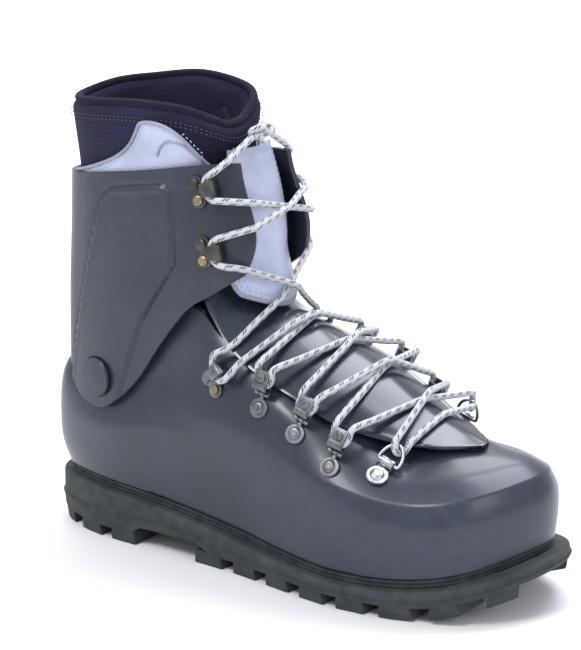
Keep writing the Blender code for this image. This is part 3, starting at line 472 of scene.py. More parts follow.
def folded(path, width, thickness, bevel=0.22):
    """A metal strip bent along a path in the XZ plane, its thickness to the left of the path."""
    mesh = bmesh.new()
    mesh.loops.layers.uv.new("UVMap")
    steps = len(path) - 1
    bmesh.ops.create_grid(mesh, x_segments=steps, y_segments=2, size=0.5, calc_uvs=True)
    for vertex in mesh.verts:
        x, z = path[round((vertex.co.x + 0.5) * steps)]
        vertex.co = (x, vertex.co.y * width, z)
    bmesh.ops.recalc_face_normals(mesh, faces=mesh.faces)
    bmesh.ops.solidify(mesh, geom=mesh.faces[:], thickness=thickness)
    bmesh.ops.recalc_face_normals(mesh, faces=mesh.faces)
    return rounded(mesh, bevel, 2, 55)


def bend(corners, radius, steps=5):
    """A path through corners in a plane, each inner corner rounded to a radius."""
    points = [Vector(corners[0])]
    for before, corner, after in zip(corners, corners[1:], corners[2:]):
        corner = Vector(corner)
        start = corner + (Vector(before) - corner).normalized() * radius
        end = corner + (Vector(after) - corner).normalized() * radius
        for k in range(steps + 1):
            t = k / steps
            points.append(start * (1 - t) ** 2 + corner * 2 * t * (1 - t) + end * t * t)
    points.append(Vector(corners[-1]))
    return [(p.x, p.y) for p in points]


def moved(mesh, matrix):
    """The same mesh, placed by a matrix."""
    bmesh.ops.transform(mesh, matrix=matrix, verts=mesh.verts)
    return mesh


def together(meshes):
    """Several closed solids in one mesh."""
    whole = bmesh.new()
    whole.loops.layers.uv.new("UVMap")
    for part in meshes:
        carrier = bpy.data.meshes.new("carrier")
        part.to_mesh(carrier)
        part.free()
        whole.from_mesh(carrier)
        bpy.data.meshes.remove(carrier)
    return whole


def cut(solid, cutters):
    """A solid with the cutters taken away."""
    helpers = []
    for part in [solid, *cutters]:
        carrier = bpy.data.meshes.new("carrier")
        part.to_mesh(carrier)
        part.free()
        item = bpy.data.objects.new("carrier", carrier)
        bpy.context.collection.objects.link(item)
        helpers.append(item)
    for item in helpers[1:]:
        change = helpers[0].modifiers.new("cut", "BOOLEAN")
        change.operation = "DIFFERENCE"
        change.solver = "EXACT"
        change.object = item
    result = bmesh.new()
    result.from_mesh(helpers[0].evaluated_get(bpy.context.evaluated_depsgraph_get()).to_mesh())
    for item in helpers:
        carrier = item.data
        bpy.data.objects.remove(item)
        bpy.data.meshes.remove(carrier)
    return result


def add_piece(name, mesh, paints, body=None, replaces=(), angle=40):
    """Make a shown piece of a mesh in the maker's millimetres, on a body and in place of CAD nodes."""
    bmesh.ops.transform(mesh, matrix=TO_FRAME, verts=mesh.verts)
    bmesh.ops.recalc_face_normals(mesh, faces=mesh.faces)
    data = bpy.data.meshes.new(name)
    mesh.to_mesh(data)
    mesh.free()
    for paint in paints if isinstance(paints, (list, tuple)) else [paints]:
        data.materials.append(paint)
    data.shade_smooth()
    data.set_sharp_from_angle(angle=math.radians(angle))
    piece = bpy.data.objects.new(name, data)
    bpy.context.collection.objects.link(piece)
    if body is not None:
        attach(piece, body)
    if replaces:
        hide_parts(*replaces)
    return piece


def place(point):
    """A point of the maker's coordinates, in the frame's metres."""
    return (Vector(point) - CENTRE) * MM


def lean_with_cuff(piece):
    """A soft piece, with its placement baked into its mesh."""
    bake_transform(piece)


# ---------------------------------------------------------------- shader maths
class Sum:
    """A number that varies over a surface; operators on it add Math nodes."""

    def __init__(self, paint, socket):
        self.paint, self.socket = paint, socket

    def math(self, operation, *others):
        """One Math node on this value and the others."""
        return self.paint.node("ShaderNodeMath", {"operation": operation}, dict(enumerate([self, *others])))

    def __add__(self, other):
        return self.math("ADD", other)

    def __sub__(self, other):
        return self.math("SUBTRACT", other)

    def __rsub__(self, other):
        return self.paint.node("ShaderNodeMath", {"operation": "SUBTRACT"}, {0: other, 1: self})

    def __mul__(self, other):
        return self.math("MULTIPLY", other)

    def __truediv__(self, other):
        return self.math("DIVIDE", other)

    def __pow__(self, other):
        return self.math("POWER", other)

    __radd__ = __add__
    __rmul__ = __mul__

    def wave(self):
        """Sine of this value."""
        return self.math("SINE")

    def part(self):
        """Fraction of this value."""
        return self.math("FRACT")

    def size(self):
        """This value without its sign."""
        return self.math("ABSOLUTE")

    def least(self, other):
        """The smaller of two values."""
        return self.math("MINIMUM", other)

    def most(self, other):
        """The larger of two values."""
        return self.math("MAXIMUM", other)

    def rise(self, low, high):
        """0 below low, 1 above high, smooth between."""
        return self.paint.node("ShaderNodeMapRange", {"interpolation_type": "SMOOTHSTEP"},
                               {"Value": self, "From Min": low, "From Max": high})


class Paint:
    """The node tree of one material."""

    def __init__(self, name, colour, roughness, metallic=0.0, **constants):
        self.material = bpy.data.materials.new(name)
        self.material.use_nodes = True
        self.tree = self.material.node_tree
        self.shader = self.tree.nodes["Principled BSDF"]
        for socket, value in {"Base Color": (*colour, 1), "Roughness": roughness, "Metallic": metallic,
                              **constants}.items():
            self.shader.inputs[socket].default_value = value
        self.colour = (*colour, 1)

    def node(self, kind, settings_=None, inputs=None, output=0):
        """Any node: its settings first, then the values or links of its sockets."""
        made = self.tree.nodes.new(kind)
        for key, value in (settings_ or {}).items():
            setattr(made, key, value)
        for socket, value in (inputs or {}).items():
            if isinstance(value, Sum):
                self.tree.links.new(value.socket, made.inputs[socket])
            else:
                made.inputs[socket].default_value = value
        return Sum(self, made.outputs[output])

    def spot(self, stretch=(1, 1, 1), turn=(0, 0, 0)):
        """Object coordinates in metres, stretched and turned."""
        base = self.node("ShaderNodeTexCoord", output="Object")
        return self.node("ShaderNodeMapping", {}, {"Vector": base, "Scale": stretch, "Rotation": turn})

    def unwrapped(self):
        """U and V of the piece's own map."""
        base = self.node("ShaderNodeTexCoord", output="UV")
        return [self.node("ShaderNodeSeparateXYZ", {}, {"Vector": base}, output=k) for k in (0, 1)]

    def noise(self, scale, detail=3.0, roughness=0.55, spot=None, distortion=0.0):
        """Cloudy values from 0 to 1."""
        return self.node("ShaderNodeTexNoise", {}, {"Vector": spot or self.spot(), "Scale": scale, "Detail": detail,
                                                    "Roughness": roughness, "Distortion": distortion})

    def cells(self, scale, spot=None, feature="F1"):
        """Distance to the nearest of scattered points."""
        return self.node("ShaderNodeTexVoronoi", {"feature": feature}, {"Vector": spot or self.spot(), "Scale": scale})

    def blend(self, share, first, second):
        """One colour turning into another."""
        return self.node("ShaderNodeMix", {"data_type": "RGBA"}, {0: share, 6: first, 7: second}, output=2)

    def feed(self, **values):
        """Join varying values to the shader's sockets, with spaces for underscores."""
        for socket, value in values.items():
            self.tree.links.new(value.socket, self.shader.inputs[socket.replace("_", " ")])
        return self

    def relief(self, height, depth, strength=1.0):
        """Bump of a height from 0 to 1, as deep as depth metres."""
        bump = self.node("ShaderNodeBump", {}, {"Strength": strength, "Distance": depth, "Height": height})
        return self.feed(Normal=bump)


def shade(colour, factor):
    """A colour made lighter or darker."""
    return (*(min(c * factor, 1.0) for c in colour[:3]), 1)


def moulded_plastic(name, colour, roughness, tint, coat=0.0):
    """Injection-moulded plastic with faint clouds, fine scratches and a slight orange peel."""
    paint = Paint(name, colour, roughness, **{"Coat Weight": coat, "Coat Roughness": 0.12, "IOR": 1.5})
    clouds = paint.noise(14, 4, 0.6)
    fine = paint.noise(160, 3, 0.6)
    marks = paint.noise(40, 2, 0.5, paint.spot((1, 1, 9), (0.3, 0.5, 0.2)))
    thin = paint.noise(420, 2, 0.7, paint.spot((1, 0.08, 1), (0.2, 0.6, 0.4)))
    scratch = thin.rise(0.66, 0.74) * marks.rise(0.5, 0.65)
    dust = (clouds.rise(0.35, 0.75) * fine.rise(0.4, 0.75)) * 0.5
    # clouds turn the colour towards the tint; on the tongue that tint is a painted greenish reflection
    tone = paint.blend(clouds.rise(0.3, 0.7), shade(colour, 0.82), (*tint, 1))
    worn = paint.blend(dust + scratch * 0.6, tone, shade(colour, 2.1))
    paint.feed(Base_Color=worn, Roughness=roughness + clouds * 0.1 + dust * 0.16 + scratch * 0.2 - 0.05)
    return paint.relief(paint.noise(900, 2, 0.5) * 0.55 + fine * 0.3 - scratch * 0.5, 0.00006).material


def sole_rubber(name, colour):
    """Matte rubber with a fine grain, cloudy tone and scattered patches of pale dust."""
    paint = Paint(name, colour, 0.78, IOR=1.5)
    clouds = paint.noise(25, 5, 0.65)
    grain = paint.noise(700, 3, 0.7)
    rubbed = paint.cells(120).rise(0.0, 0.9) * clouds
    tone = paint.blend(clouds.rise(0.35, 0.7), shade(colour, 0.75), shade(colour, 1.35))
    dusty = paint.blend(rubbed * 0.35, tone, (0.11, 0.115, 0.115, 1))
    paint.feed(Base_Color=dusty, Roughness=0.66 + clouds * 0.22)
    return paint.relief(grain * 0.7 + clouds * 0.6, 0.00018).material


def plated_metal(name, colour, roughness, wear, worn_colour):
    """Plated sheet metal with brushed lines, small pits and worn patches."""
    paint = Paint(name, colour, roughness, 1.0)
    brushed = paint.noise(900, 2, 0.6, paint.spot((1, 0.07, 1), (0.4, 0.2, 0.7)))
    patches = paint.noise(140, 4, 0.65)
    pits = paint.cells(900).rise(0.05, 0.3)
    tone = paint.blend(patches.rise(0.4, 0.65) * wear, (*colour, 1), (*worn_colour, 1))
    dull = paint.blend(1 - pits, tone, shade(colour, 0.5))
    paint.feed(Base_Color=dull, Roughness=roughness + patches * 0.18 + brushed * 0.1 - 0.08)
    return paint.relief(brushed * 0.5 + pits * 0.5, 0.00004).material


def knitted(name, colour, lightness, ribs=360.0):
    """Ribbed knit: upright ribs, each a chain of small loops, with fuzz over them."""
    paint = Paint(name, colour, 0.95, **{"Sheen Weight": 0.07, "Sheen Roughness": 0.4,
                                          "Sheen Tint": (0.45, 0.45, 0.7, 1), "Specular IOR Level": 0.25})
    u, v = paint.unwrapped()
    rib = (u * (ribs * math.pi)).wave().size()
    loops = (v * 520.0 + (u * ribs).part() * 2.2).wave() * 0.5 + 0.5
    fuzz = paint.noise(1500, 3, 0.7)
    clouds = paint.noise(22, 3, 0.6)
    height = rib * 0.65 + loops * 0.2 + fuzz * 0.25
    # painted shade and highlight: the colour runs from dark in the hollows between ribs and loops to light on their
    # crests
    tone = paint.blend(height.rise(0.25, 0.95), shade(colour, 0.45), shade(colour, lightness))
    faded = paint.blend(clouds.rise(0.45, 0.8) * 0.35, tone, shade(colour, lightness * 1.5))
    paint.feed(Base_Color=faded, Roughness=0.82 + fuzz * 0.15)
    return paint.relief(height, 0.0006, 0.9).material


def coated_fabric(name, colour):
    """Silver-coated cloth: a fine weave under a soft metallic coat, creased and slightly soiled."""
    paint = Paint(name, colour, 0.42, 0.25, **{"Sheen Weight": 0.1, "Coat Weight": 0.08, "Coat Roughness": 0.35})
    weft = (paint.node("ShaderNodeSeparateXYZ", {}, {"Vector": paint.spot()}, output=2) * 5200.0).wave()
    warp = (paint.node("ShaderNodeSeparateXYZ", {}, {"Vector": paint.spot()}, output=1) * 5200.0).wave()
    weave = (weft * warp) * 0.5 + 0.5
    clouds = paint.noise(30, 4, 0.6)
    creases = paint.noise(55, 3, 0.55, paint.spot((1, 1, 2.2)))
    tone = paint.blend(clouds.rise(0.3, 0.75), shade(colour, 0.86), shade(colour, 1.18))
    soiled = paint.blend(creases.rise(0.6, 0.8) * 0.25, tone, shade(colour, 0.6))
    paint.feed(Base_Color=soiled, Roughness=0.36 + clouds * 0.2 + weave * 0.05)
    return paint.relief(weave * 0.25 + creases * 0.75, 0.0005, 0.8).material


def braided_cord(name, pitch):
    """White braided lace with rows of dark flecks; V of its map is its length in metres."""
    paint = Paint(name, (0.72, 0.74, 0.75), 0.85, **{"Sheen Weight": 0.25, "Sheen Roughness": 0.5})
    u, v = paint.unwrapped()
    left = (v * 1500.0 + u * (4 * math.tau)).wave()
    right = (v * 1500.0 - u * (4 * math.tau)).wave()
    strands = left.size().most(right.size())
    fuzz = paint.noise(2600, 2, 0.7)
    row = (v / pitch + u * 2.0).part()
    first = 1 - (row - 0.3).size().rise(0.05, 0.1)
    second = 1 - (row - 0.55).size().rise(0.05, 0.1)
    around = 1 - ((u * 4.0).part() - 0.5).size().rise(0.22, 0.34)
    fleck = first.most(second) * around
    # painted shade: darker in the grooves between the braided strands than on their crests
    cloth = paint.blend(strands * 0.7 + fuzz * 0.3, (0.27, 0.29, 0.31, 1), (0.6, 0.61, 0.62, 1))
    marked = paint.blend(fleck, cloth, (0.02, 0.022, 0.028, 1))
    soil = paint.noise(90, 3, 0.6).rise(0.55, 0.85) * 0.3
    paint.feed(Base_Color=paint.blend(soil, marked, (0.42, 0.43, 0.44, 1)), Roughness=0.78 + fuzz * 0.18)
    return paint.relief(strands * 0.8 + fuzz * 0.3, 0.0004, 0.9).material


def felt(name, colour):
    """Dense felt with loose fibres."""
    paint = Paint(name, colour, 0.95, **{"Sheen Weight": 0.3})
    fibre = paint.noise(1400, 4, 0.75, distortion=1.5)
    clouds = paint.noise(40, 3, 0.6)
    tone = paint.blend(fibre.rise(0.3, 0.7), shade(colour, 0.6), shade(colour, 1.5))
    paint.feed(Base_Color=paint.blend(clouds * 0.4, tone, shade(colour, 0.7)), Roughness=0.85 + fibre * 0.12)
    return paint.relief(fibre, 0.0004).material


def sewing_thread(name, colour):
    """Twisted thread."""
    paint = Paint(name, colour, 0.7, **{"Sheen Weight": 0.2})
    twist = paint.noise(2400, 2, 0.5, paint.spot((1, 0.3, 1)))
    paint.feed(Base_Color=paint.blend(twist, shade(colour, 0.7), shade(colour, 1.25)), Roughness=0.6 + twist * 0.2)
    return paint.relief(twist, 0.0001).material


PAINTS = {}


class BOOT_OT_paints(Operator):
    """Mix the boot's finishes"""

    bl_idname = "boot.paints"
    bl_label = "Finishes"

    def execute(self, context):
        plastic, soft, lacing, sole = (getattr(settings(), k) for k in ("plastic", "soft", "lacing", "sole"))
        shell, tongue, knit, silver, rubber = (tuple(c) for c in (
            plastic.shell_colour, plastic.tongue_colour, soft.knit_colour, soft.silver_colour, sole.rubber_colour))
        PAINTS.update({
            "shell": moulded_plastic("shell plastic", shell, 0.36, (shell[0] * 1.05, shell[1] * 1.12, shell[2] * 1.1),
                                     0.15),
            "cuff": moulded_plastic("cuff plastic", tuple(c * 0.92 for c in shell), 0.38,
                                    (shell[0], shell[1] * 1.08, shell[2]), 0.1),
            # the tongue's greenish cloud tint is a painted greenish reflection
            "tongue": moulded_plastic("glossy tongue plastic", tongue, 0.26,
                                      (tongue[0] * 0.9, tongue[1] * 1.3, tongue[2] * 1.05), 0.35),
            "disc": moulded_plastic("pivot disc plastic", tuple(c * 0.8 for c in shell), 0.42, shell),
            "rubber": sole_rubber("outsole rubber", rubber),
            "welt": sole_rubber("welt rubber", tuple(c * 0.55 for c in rubber)),
            "steel": plated_metal("worn zinc plate", (0.22, 0.23, 0.245), 0.36, 0.8, (0.13, 0.13, 0.13)),
            "nickel": plated_metal("bright nickel", (0.46, 0.47, 0.5), 0.24, 0.4, (0.34, 0.33, 0.31)),
            "bronze": plated_metal("dark bronze plate", (0.075, 0.075, 0.075), 0.36, 0.8, (0.15, 0.135, 0.11)),
            "brass": plated_metal("worn brass", (0.36, 0.3, 0.18), 0.38, 0.8, (0.2, 0.19, 0.16)),
            "knit": knitted("navy knit", knit, 3.2),
            "binding": knitted("knit binding", knit, 2.6, 90.0),
            "lining": felt("dark lining", (0.012, 0.012, 0.018)),
            "silver": coated_fabric("silver cloth", silver),
            "edging": coated_fabric("silver binding", tuple(c * 0.62 for c in silver)),
            "thread": sewing_thread("pale thread", (0.5, 0.52, 0.6)),
            "dark_thread": sewing_thread("dark thread", (0.03, 0.03, 0.06)),
            "lace": braided_cord("braided lace", lacing.fleck_pitch),
            "felt": felt("footbed felt", (0.1, 0.1, 0.11)),
            "board": felt("board", (0.14, 0.135, 0.13)),
        })
        return {"FINISHED"}


# ---------------------------------------------------------------- surfaces that several pieces share
TREES = {}


def shell_rings(per_column=8, per_row=6):
    """Fine rings of the shell's outer face, with the toe box's crease."""
    columns = [creased(column, per_row, share) for column, share in zip(SHELL, CREASE_SHARE)]
    return rings_across(columns, per_column)


def at_height(level, z):
    """Point of a rising line at a height, smooth between its levels and straight beyond them."""
    below = [k for k in range(len(level) - 1) if level[k].z <= z]
    k = below[-1] if below else 0
    a, b = level[k], level[k + 1]
    t = (z - a.z) / (b.z - a.z)
    if not 0 <= t <= 1:
        return a + (b - a) * t
    first, last = level[max(k - 1, 0)], level[min(k + 2, len(level) - 1)]
    point = 0.5 * (2 * a + (b - first) * t + (2 * first - 5 * a + 4 * b - last) * t * t
                   + (3 * a - first - 3 * b + last) * t ** 3)
    return Vector((point.x, point.y, z))


def plate_depth(point, top):
    """How far inside the edge of the cuff's raised side plate a point lies; its corners are rounded."""
    gaps = [along_line(point.z, PLATE_FRONT) - point.x, point.x - along_line(point.z, PLATE_REAR), top - 9 - point.z]
    corner = 7.0
    short = [max(corner - gap, 0) for gap in gaps]
    return corner - math.sqrt(sum(v * v for v in short))


def cuff_rings(per_column=12, rows=110):
    """Fine rings of the cuff's outer face, from the outer front edge round the heel to the inner one."""
    columns = []
    for side, index in [(-1, k) for k in range(9)] + [(1, k) for k in range(7, -1, -1)]:
        *plans, low, high = CUFF[index]
        level = [Vector((x, side * y, h)) for (x, y), h in zip(plans, CUFF_LEVELS)]
        columns.append([at_height(level, low + (high - low) * k / rows) for k in range(rows + 1)])
    rings = [list(reversed(ring)) for ring in rings_across(columns, per_column, closed=False)]
    proud = in_mm(settings().plastic.plate_height)
    normals = skin_normals(rings, closed=False)
    for ring, line in zip(rings, normals):
        for i, (point, normal) in enumerate(zip(ring, line)):
            inside = plate_depth(point, rings[-1][i].z)
            step = ease(inside / 1.8 + 0.5) - 1
            groove = 0.75 * math.exp(-((inside + 0.9) / 0.9) ** 2)
            lip = 0.35 * math.exp(-((inside - 2.2) / 1.2) ** 2)
            ring[i] = point + normal * (proud * step - groove + lip)
    return rings


def collar_columns(rows, low=COLLAR_BOTTOM):
    """Columns of the collar's outer face, from its bottom to its rim."""
    found = []
    for side, entry in [(-1, c) for c in COLLAR] + [(1, c) for c in COLLAR[-2:0:-1]]:
        level = [Vector((x, side * y, h)) for (x, y), h in zip(entry[:3], COLLAR_LEVELS)]
        rim = entry[3] if side < 0 else entry[4]
        found.append([at_height(level, low + (rim - low) * k / rows) for k in range(rows + 1)])
    return found


def drawn_in(ring, distance, rise=0.0):
    """A collar ring moved towards the leg's middle."""
    found = []
    for p in ring:
        inward = Vector((72 - p.x, -p.y, 0)).normalized()
        found.append(p + inward * distance + Vector((0, 0, rise)))
    return found


def tongue_rows(per=6):
    """Fine cross-sections of the tongue's upper face, from the toe back."""
    rows = []
    for first, ridge, last in TONGUE:
        a, m, b = Vector(first), Vector(ridge), Vector(last)
        arch = [a, a.lerp(m, 0.38) + Vector((0, 0, 0.16 * (m.z - a.z))), m,
                b.lerp(m, 0.38) + Vector((0, 0, 0.16 * (m.z - b.z))), b]
        rows.append(spline(arch, per))
    columns = [spline(column, per) for column in zip(*rows)]
    return [list(row) for row in zip(*columns)]


def panel_point(s, t):
    """A point of the tongue's silver panel: s from -1 to 1 across, t from 0 to 1 upwards."""
    stations = spline([Vector(p) for p in PANEL], 8)
    spot = t * (len(stations) - 1)
    k = min(int(spot), len(stations) - 2)
    half, x, z = stations[k].lerp(stations[k + 1], spot - k)
    across = s * half
    return Vector((x + 3.0 - 12.0 * (across / 30) ** 2, across, z))


def tree_of(rings, closed=True):
    """A surface to drop points on."""
    mesh = skin(rings, closed)
    mesh.normal_update()
    tree = BVHTree.FromBMesh(mesh)
    mesh.free()
    return tree


def seat(tree, spot, towards, side, lift=0.0):
    """Frame on a wall: origin on it, X towards a second spot, Z outwards."""
    found = []
    for x, z in (spot, towards):
        point, normal, _, _ = tree.ray_cast(Vector((x, side * 150, z)), Vector((0, -side, 0)))
        found.append((point, -normal if normal.y * side < 0 else normal))
    (point, normal), (target, _) = found
    ahead = target - point
    ahead = (ahead - normal * ahead.dot(normal)).normalized()
    turn = Matrix((ahead, normal.cross(ahead), normal)).transposed().to_4x4()
    return Matrix.Translation(point + normal * lift) @ turn


def joint_named(name):
    """A joint of the frame: its place in the maker's millimetres and its axis."""
    found = next(j for j in frame["joints"] if j["name"] == name)
    return Vector(found["pos_m"]) / MM + CENTRE, Vector(found["axis"]).normalized()


def guide_frame(name, number):
    """Frame of a guide's bracket as it stands, from the axes of its hinge and of its roller."""
    hinge, across = joint_named(f"guide_hinge_{name}_{number}")
    _, out = joint_named(f"roller_spin_{name}_{number}")
    y = -across
    turn = Matrix((y.cross(out), y, out)).transposed().to_4x4()
    return Matrix.Translation(hinge) @ turn @ Matrix.Translation((-HINGE_X, 0, -HINGE_Z))


def base_frame(bracket):
    """Frame of a guide's riveted disc, which lies flat on the wall."""
    hinge = Matrix.Translation((HINGE_X, 0, HINGE_Z))
    return bracket @ hinge @ Matrix.Rotation(BRACKET_TILT, 4, "Y") @ hinge.inverted()


def ring_frame(name):
    """Frame of a ring's base."""
    hinge, across = joint_named(f"ring_hinge_{name}")
    wall = seat(TREES["seats"], *RINGS[name], SIDES[name])
    out = wall.col[2].to_3d()
    y = -across
    out = (out - y * out.dot(y)).normalized()
    turn = Matrix((y.cross(out), y, out)).transposed().to_4x4()
    return Matrix.Translation(hinge) @ turn @ Matrix.Translation(-RING_HINGE)


def stitches(path, lift_out, length, gap, width=0.42):
    """A row of short raised stitches along a path."""
    walked, parts, todo = 0.0, [], 0.0
    for a, b in zip(path, path[1:]):
        span = (b - a).length
        while todo <= walked + span and span > 1e-6:
            t = (todo - walked) / span
            middle = a.lerp(b, t) + lift_out
            along = (b - a).normalized()
            mesh = bmesh.new()
            mesh.loops.layers.uv.new("UVMap")
            turn = along.to_track_quat("X", "Z").to_matrix().to_4x4()
            bmesh.ops.create_icosphere(mesh, subdivisions=1, radius=1, calc_uvs=True,
                                       matrix=Matrix.Translation(middle) @ turn
                                       @ Matrix.Diagonal((length / 2, width, width, 1)))
            parts.append(mesh)
            todo += length + gap
        walked += span
    return together(parts)


# ---------------------------------------------------------------- rubber sole
def tread_height(x):
    """Height of the ground face: flat, with the toe sprung up."""
    return 39.0 * ease((x - 255) / 150)


def sole_edge():
    """Outline of the sole's ledge under the shell's bottom edge."""
    sole = settings().sole
    side, toe = in_mm(sole.side_reach), in_mm(sole.toe_reach)
    feather = shell_rings(8, 1)[0]
    return feather, widened(feather, lambda p: side + toe * ease((p.x - 270) / 45))


class BOOT_OT_outsole(Operator):
    """Rubber sole: a ledge under the shell, a moulding line and separate lugs"""

    bl_idname = "boot.outsole"
    bl_label = "Outsole"

    def execute(self, context):
        feather, edge = sole_edge()
        tops = [p.z - WELT_DEPTH for p in feather]

        def ring(distance, share, drop=0.0):
            found = []
            for i, p in enumerate(edge):
                low = tread_height(p.x) + LUG_DEPTH - 0.5 + 5.0 * ease((p.x - 70) / 8) * ease((128 - p.x) / 8)
                q = p + outward(edge, i) * distance
                found.append(Vector((q.x, q.y, low + (tops[i] - low) * share - drop)))
            return found

        layers = [ring(-3.0, 0), ring(-0.2, 0.0), ring(0.5, 0.1), ring(0.9, 0.34), ring(0.9, 0.37), ring(1.5, 0.385),
                  ring(1.5, 0.415), ring(0.7, 0.43), ring(0.5, 0.6), ring(0.4, 1.0, 1.4), ring(0.1, 1.0, 0.4),
                  ring(-0.7, 1.0), ring(-6.5, 1.0), ring(-7.0, 1.0, -0.4)]
        body = skin(layers, cap_low=True, cap_high=True)
        bmesh.ops.recalc_face_normals(body, faces=body.faces)
        slab_top = [Vector((p.x, p.y, tread_height(p.x) + LUG_DEPTH + 0.5)) for p in widened(edge, -0.1)]
        slab_low = [Vector((p.x, p.y, tread_height(p.x))) for p in widened(edge, -1.3)]
        bevel = in_mm(settings().sole.lug_bevel)
        lugs = []

        def lug(x0, x1, y0, y1, slant=0.0):
            mesh = skin([slab_low, slab_top], cap_low=True, cap_high=True)
            for spot, normal in (((x0, 0, 0), (-1, slant, 0.12)), ((x1, 0, 0), (1, -slant, 0.12)),
                                 ((0, y0, 0), (0, -1, 0.12)), ((0, y1, 0), (0, 1, 0.12))):
                halves = bmesh.ops.bisect_plane(mesh, geom=mesh.verts[:] + mesh.edges[:] + mesh.faces[:], dist=1e-5,
                                                plane_co=spot, plane_no=normal, clear_outer=True)
                rim = [e for e in halves["geom_cut"] if isinstance(e, bmesh.types.BMEdge)]
                bmesh.ops.holes_fill(mesh, edges=rim, sides=0)
            bmesh.ops.recalc_face_normals(mesh, faces=mesh.faces)
            bmesh.ops.dissolve_limit(mesh, angle_limit=math.radians(4), verts=mesh.verts, edges=mesh.edges)
            if len(mesh.faces) > 3:
                lugs.append(rounded(mesh, bevel, 2, 35))
            else:
                mesh.free()

        for x0, x1 in ((-8, 21), (29, 48), (56, 75)):
            lug(x0, x1, -90, -4 if x1 < 70 else -2, 0.05)
            lug(x0, x1, 4 if x1 < 70 else 2, 90, -0.05)
        for x0, x1 in ((123, 144), (152, 170), (178, 196), (204, 222), (230, 248), (256, 275), (283, 300), (308, 340)):
            lug(x0, x1, -90, -21, 0.12)
            lug(x0 + 4, x1 + 4, 21, 90, -0.12)
        for x0, x1 in ((126, 150), (157, 181), (188, 212), (219, 243), (250, 273), (280, 300)):
            lug(x0, x1, -17, -1.5, -0.3)
            lug(x0, x1, 1.5, 17, 0.3)
        add_piece("outsole_rubber", together([body, *lugs]), PAINTS["rubber"], "shell", ["outsole"], 35)
        return {"FINISHED"}


class BOOT_OT_welt(Operator):
    """Recessed strip between the shell and the sole"""

    bl_idname = "boot.welt"
    bl_label = "Welt strip"

    def execute(self, context):
        feather = shell_rings(8, 1)[0]

        def ring(distance, height):
            return [p + outward(feather, i) * distance + Vector((0, 0, height)) for i, p in enumerate(feather)]

        layers = [ring(-1.4, -WELT_DEPTH + 0.2), ring(-0.9, -WELT_DEPTH + 0.5), ring(-0.9, -3.4), ring(-1.9, -3.0),
                  ring(-1.9, -2.4), ring(-0.9, -2.0), ring(-0.9, -0.7), ring(-1.5, -0.2)]
        add_piece("welt_strip", skin(layers, cap_low=True, cap_high=True), PAINTS["welt"], "shell",
                  ["midsole"])
        return {"FINISHED"}


# ---------------------------------------------------------------- plastic shell, cuff and tongue
class BOOT_OT_shell(Operator):
    """Rigid lower shell with a creased toe box and a rounded rim"""

    bl_idname = "boot.shell"
    bl_label = "Lower shell"

    def execute(self, context):
        rings = shell_rings()
        TREES["shell"] = tree_of(rings)
        TREES["seats"] = tree_of(rings_across([[Vector(p) for p in column] for column in SHELL], 2))
        wall = in_mm(settings().plastic.shell_wall)
        inner = offset(rings, -wall)
        rim = [a.lerp(b, 0.5) + (a - c).normalized() * wall * 0.35 for a, b, c in zip(rings[-1], inner[-1], rings[-2])]
        foot = [p - outward(rings[0], i) * 1.2 for i, p in enumerate(rings[0])]
        floor = [p - outward(rings[0], i) * wall + Vector((0, 0, 3.0)) for i, p in enumerate(rings[0])]
        first = [p.lerp(q, 0.35) for p, q in zip(rings[0], rings[1])]
        layers = [foot, first, *rings[1:], rim, *inner[:2:-3], floor]
        mesh = skin(layers, cap_low=True, cap_high=True)
        add_piece("shell_moulding", mesh, PAINTS["shell"], "shell", ["lower_shell"], 50)
        return {"FINISHED"}


class BOOT_OT_cuff(Operator):
    """Hinged cuff with a raised side plate and round pivot holes"""

    bl_idname = "boot.cuff"
    bl_label = "Cuff"

    def execute(self, context):
        rings = cuff_rings()
        TREES["cuff"] = tree_of(rings, closed=False)
        wall = in_mm(settings().plastic.cuff_wall)
        outer = facing(skin(rings, closed=False), True)
        bmesh.ops.solidify(outer, geom=outer.faces[:], thickness=wall)
        bmesh.ops.recalc_face_normals(outer, faces=outer.faces)
        border = [e for e in sharp_edges(outer, 60)]
        bmesh.ops.bevel(outer, geom=border, offset=0.75, offset_type="OFFSET", affect="EDGES", segments=3,
                        profile=0.5, material=-1, clamp_overlap=True)
        holes = []
        for side in SIDES.values():
            tilt = Vector((-math.sin(PIVOT_TILT), side * math.cos(PIVOT_TILT), 0))
            holes.append(rod(Vector((PIVOT.x, side * 38.9, PIVOT.z)) + tilt * 5, tilt, 12.3, 11))
        add_piece("cuff_moulding", cut(outer, holes), PAINTS["cuff"], "cuff", ["cuff"], 38)
        return {"FINISHED"}


class BOOT_OT_pivots(Operator):
    """Flush domed discs of the ankle pivots"""

    bl_idname = "boot.pivots"
    bl_label = "Pivot discs"

    def execute(self, context):
        profile = [(0, -3.0), (5.6, -3.0), (5.6, 0.0), (11.2, 0.0), (11.7, 0.5), (11.7, 1.9), (11.2, 2.5), (10.2, 2.7),
                   (9.6, 2.55), (9.2, 2.6), (5, 3.0), (0, 3.15)]
        for name, side in SIDES.items():
            tilt = Vector((-math.sin(PIVOT_TILT), side * math.cos(PIVOT_TILT), 0))
            place_at = Matrix.Translation((PIVOT.x, side * 39.1, PIVOT.z)) @ tilt.to_track_quat("Z", "Y").to_matrix(
            ).to_4x4()
            add_piece(f"pivot_disc_{name}", moved(turned(profile, 48), place_at), PAINTS["disc"], "shell",
                      [f"pivot_rivet_{name}"], 30)
        return {"FINISHED"}


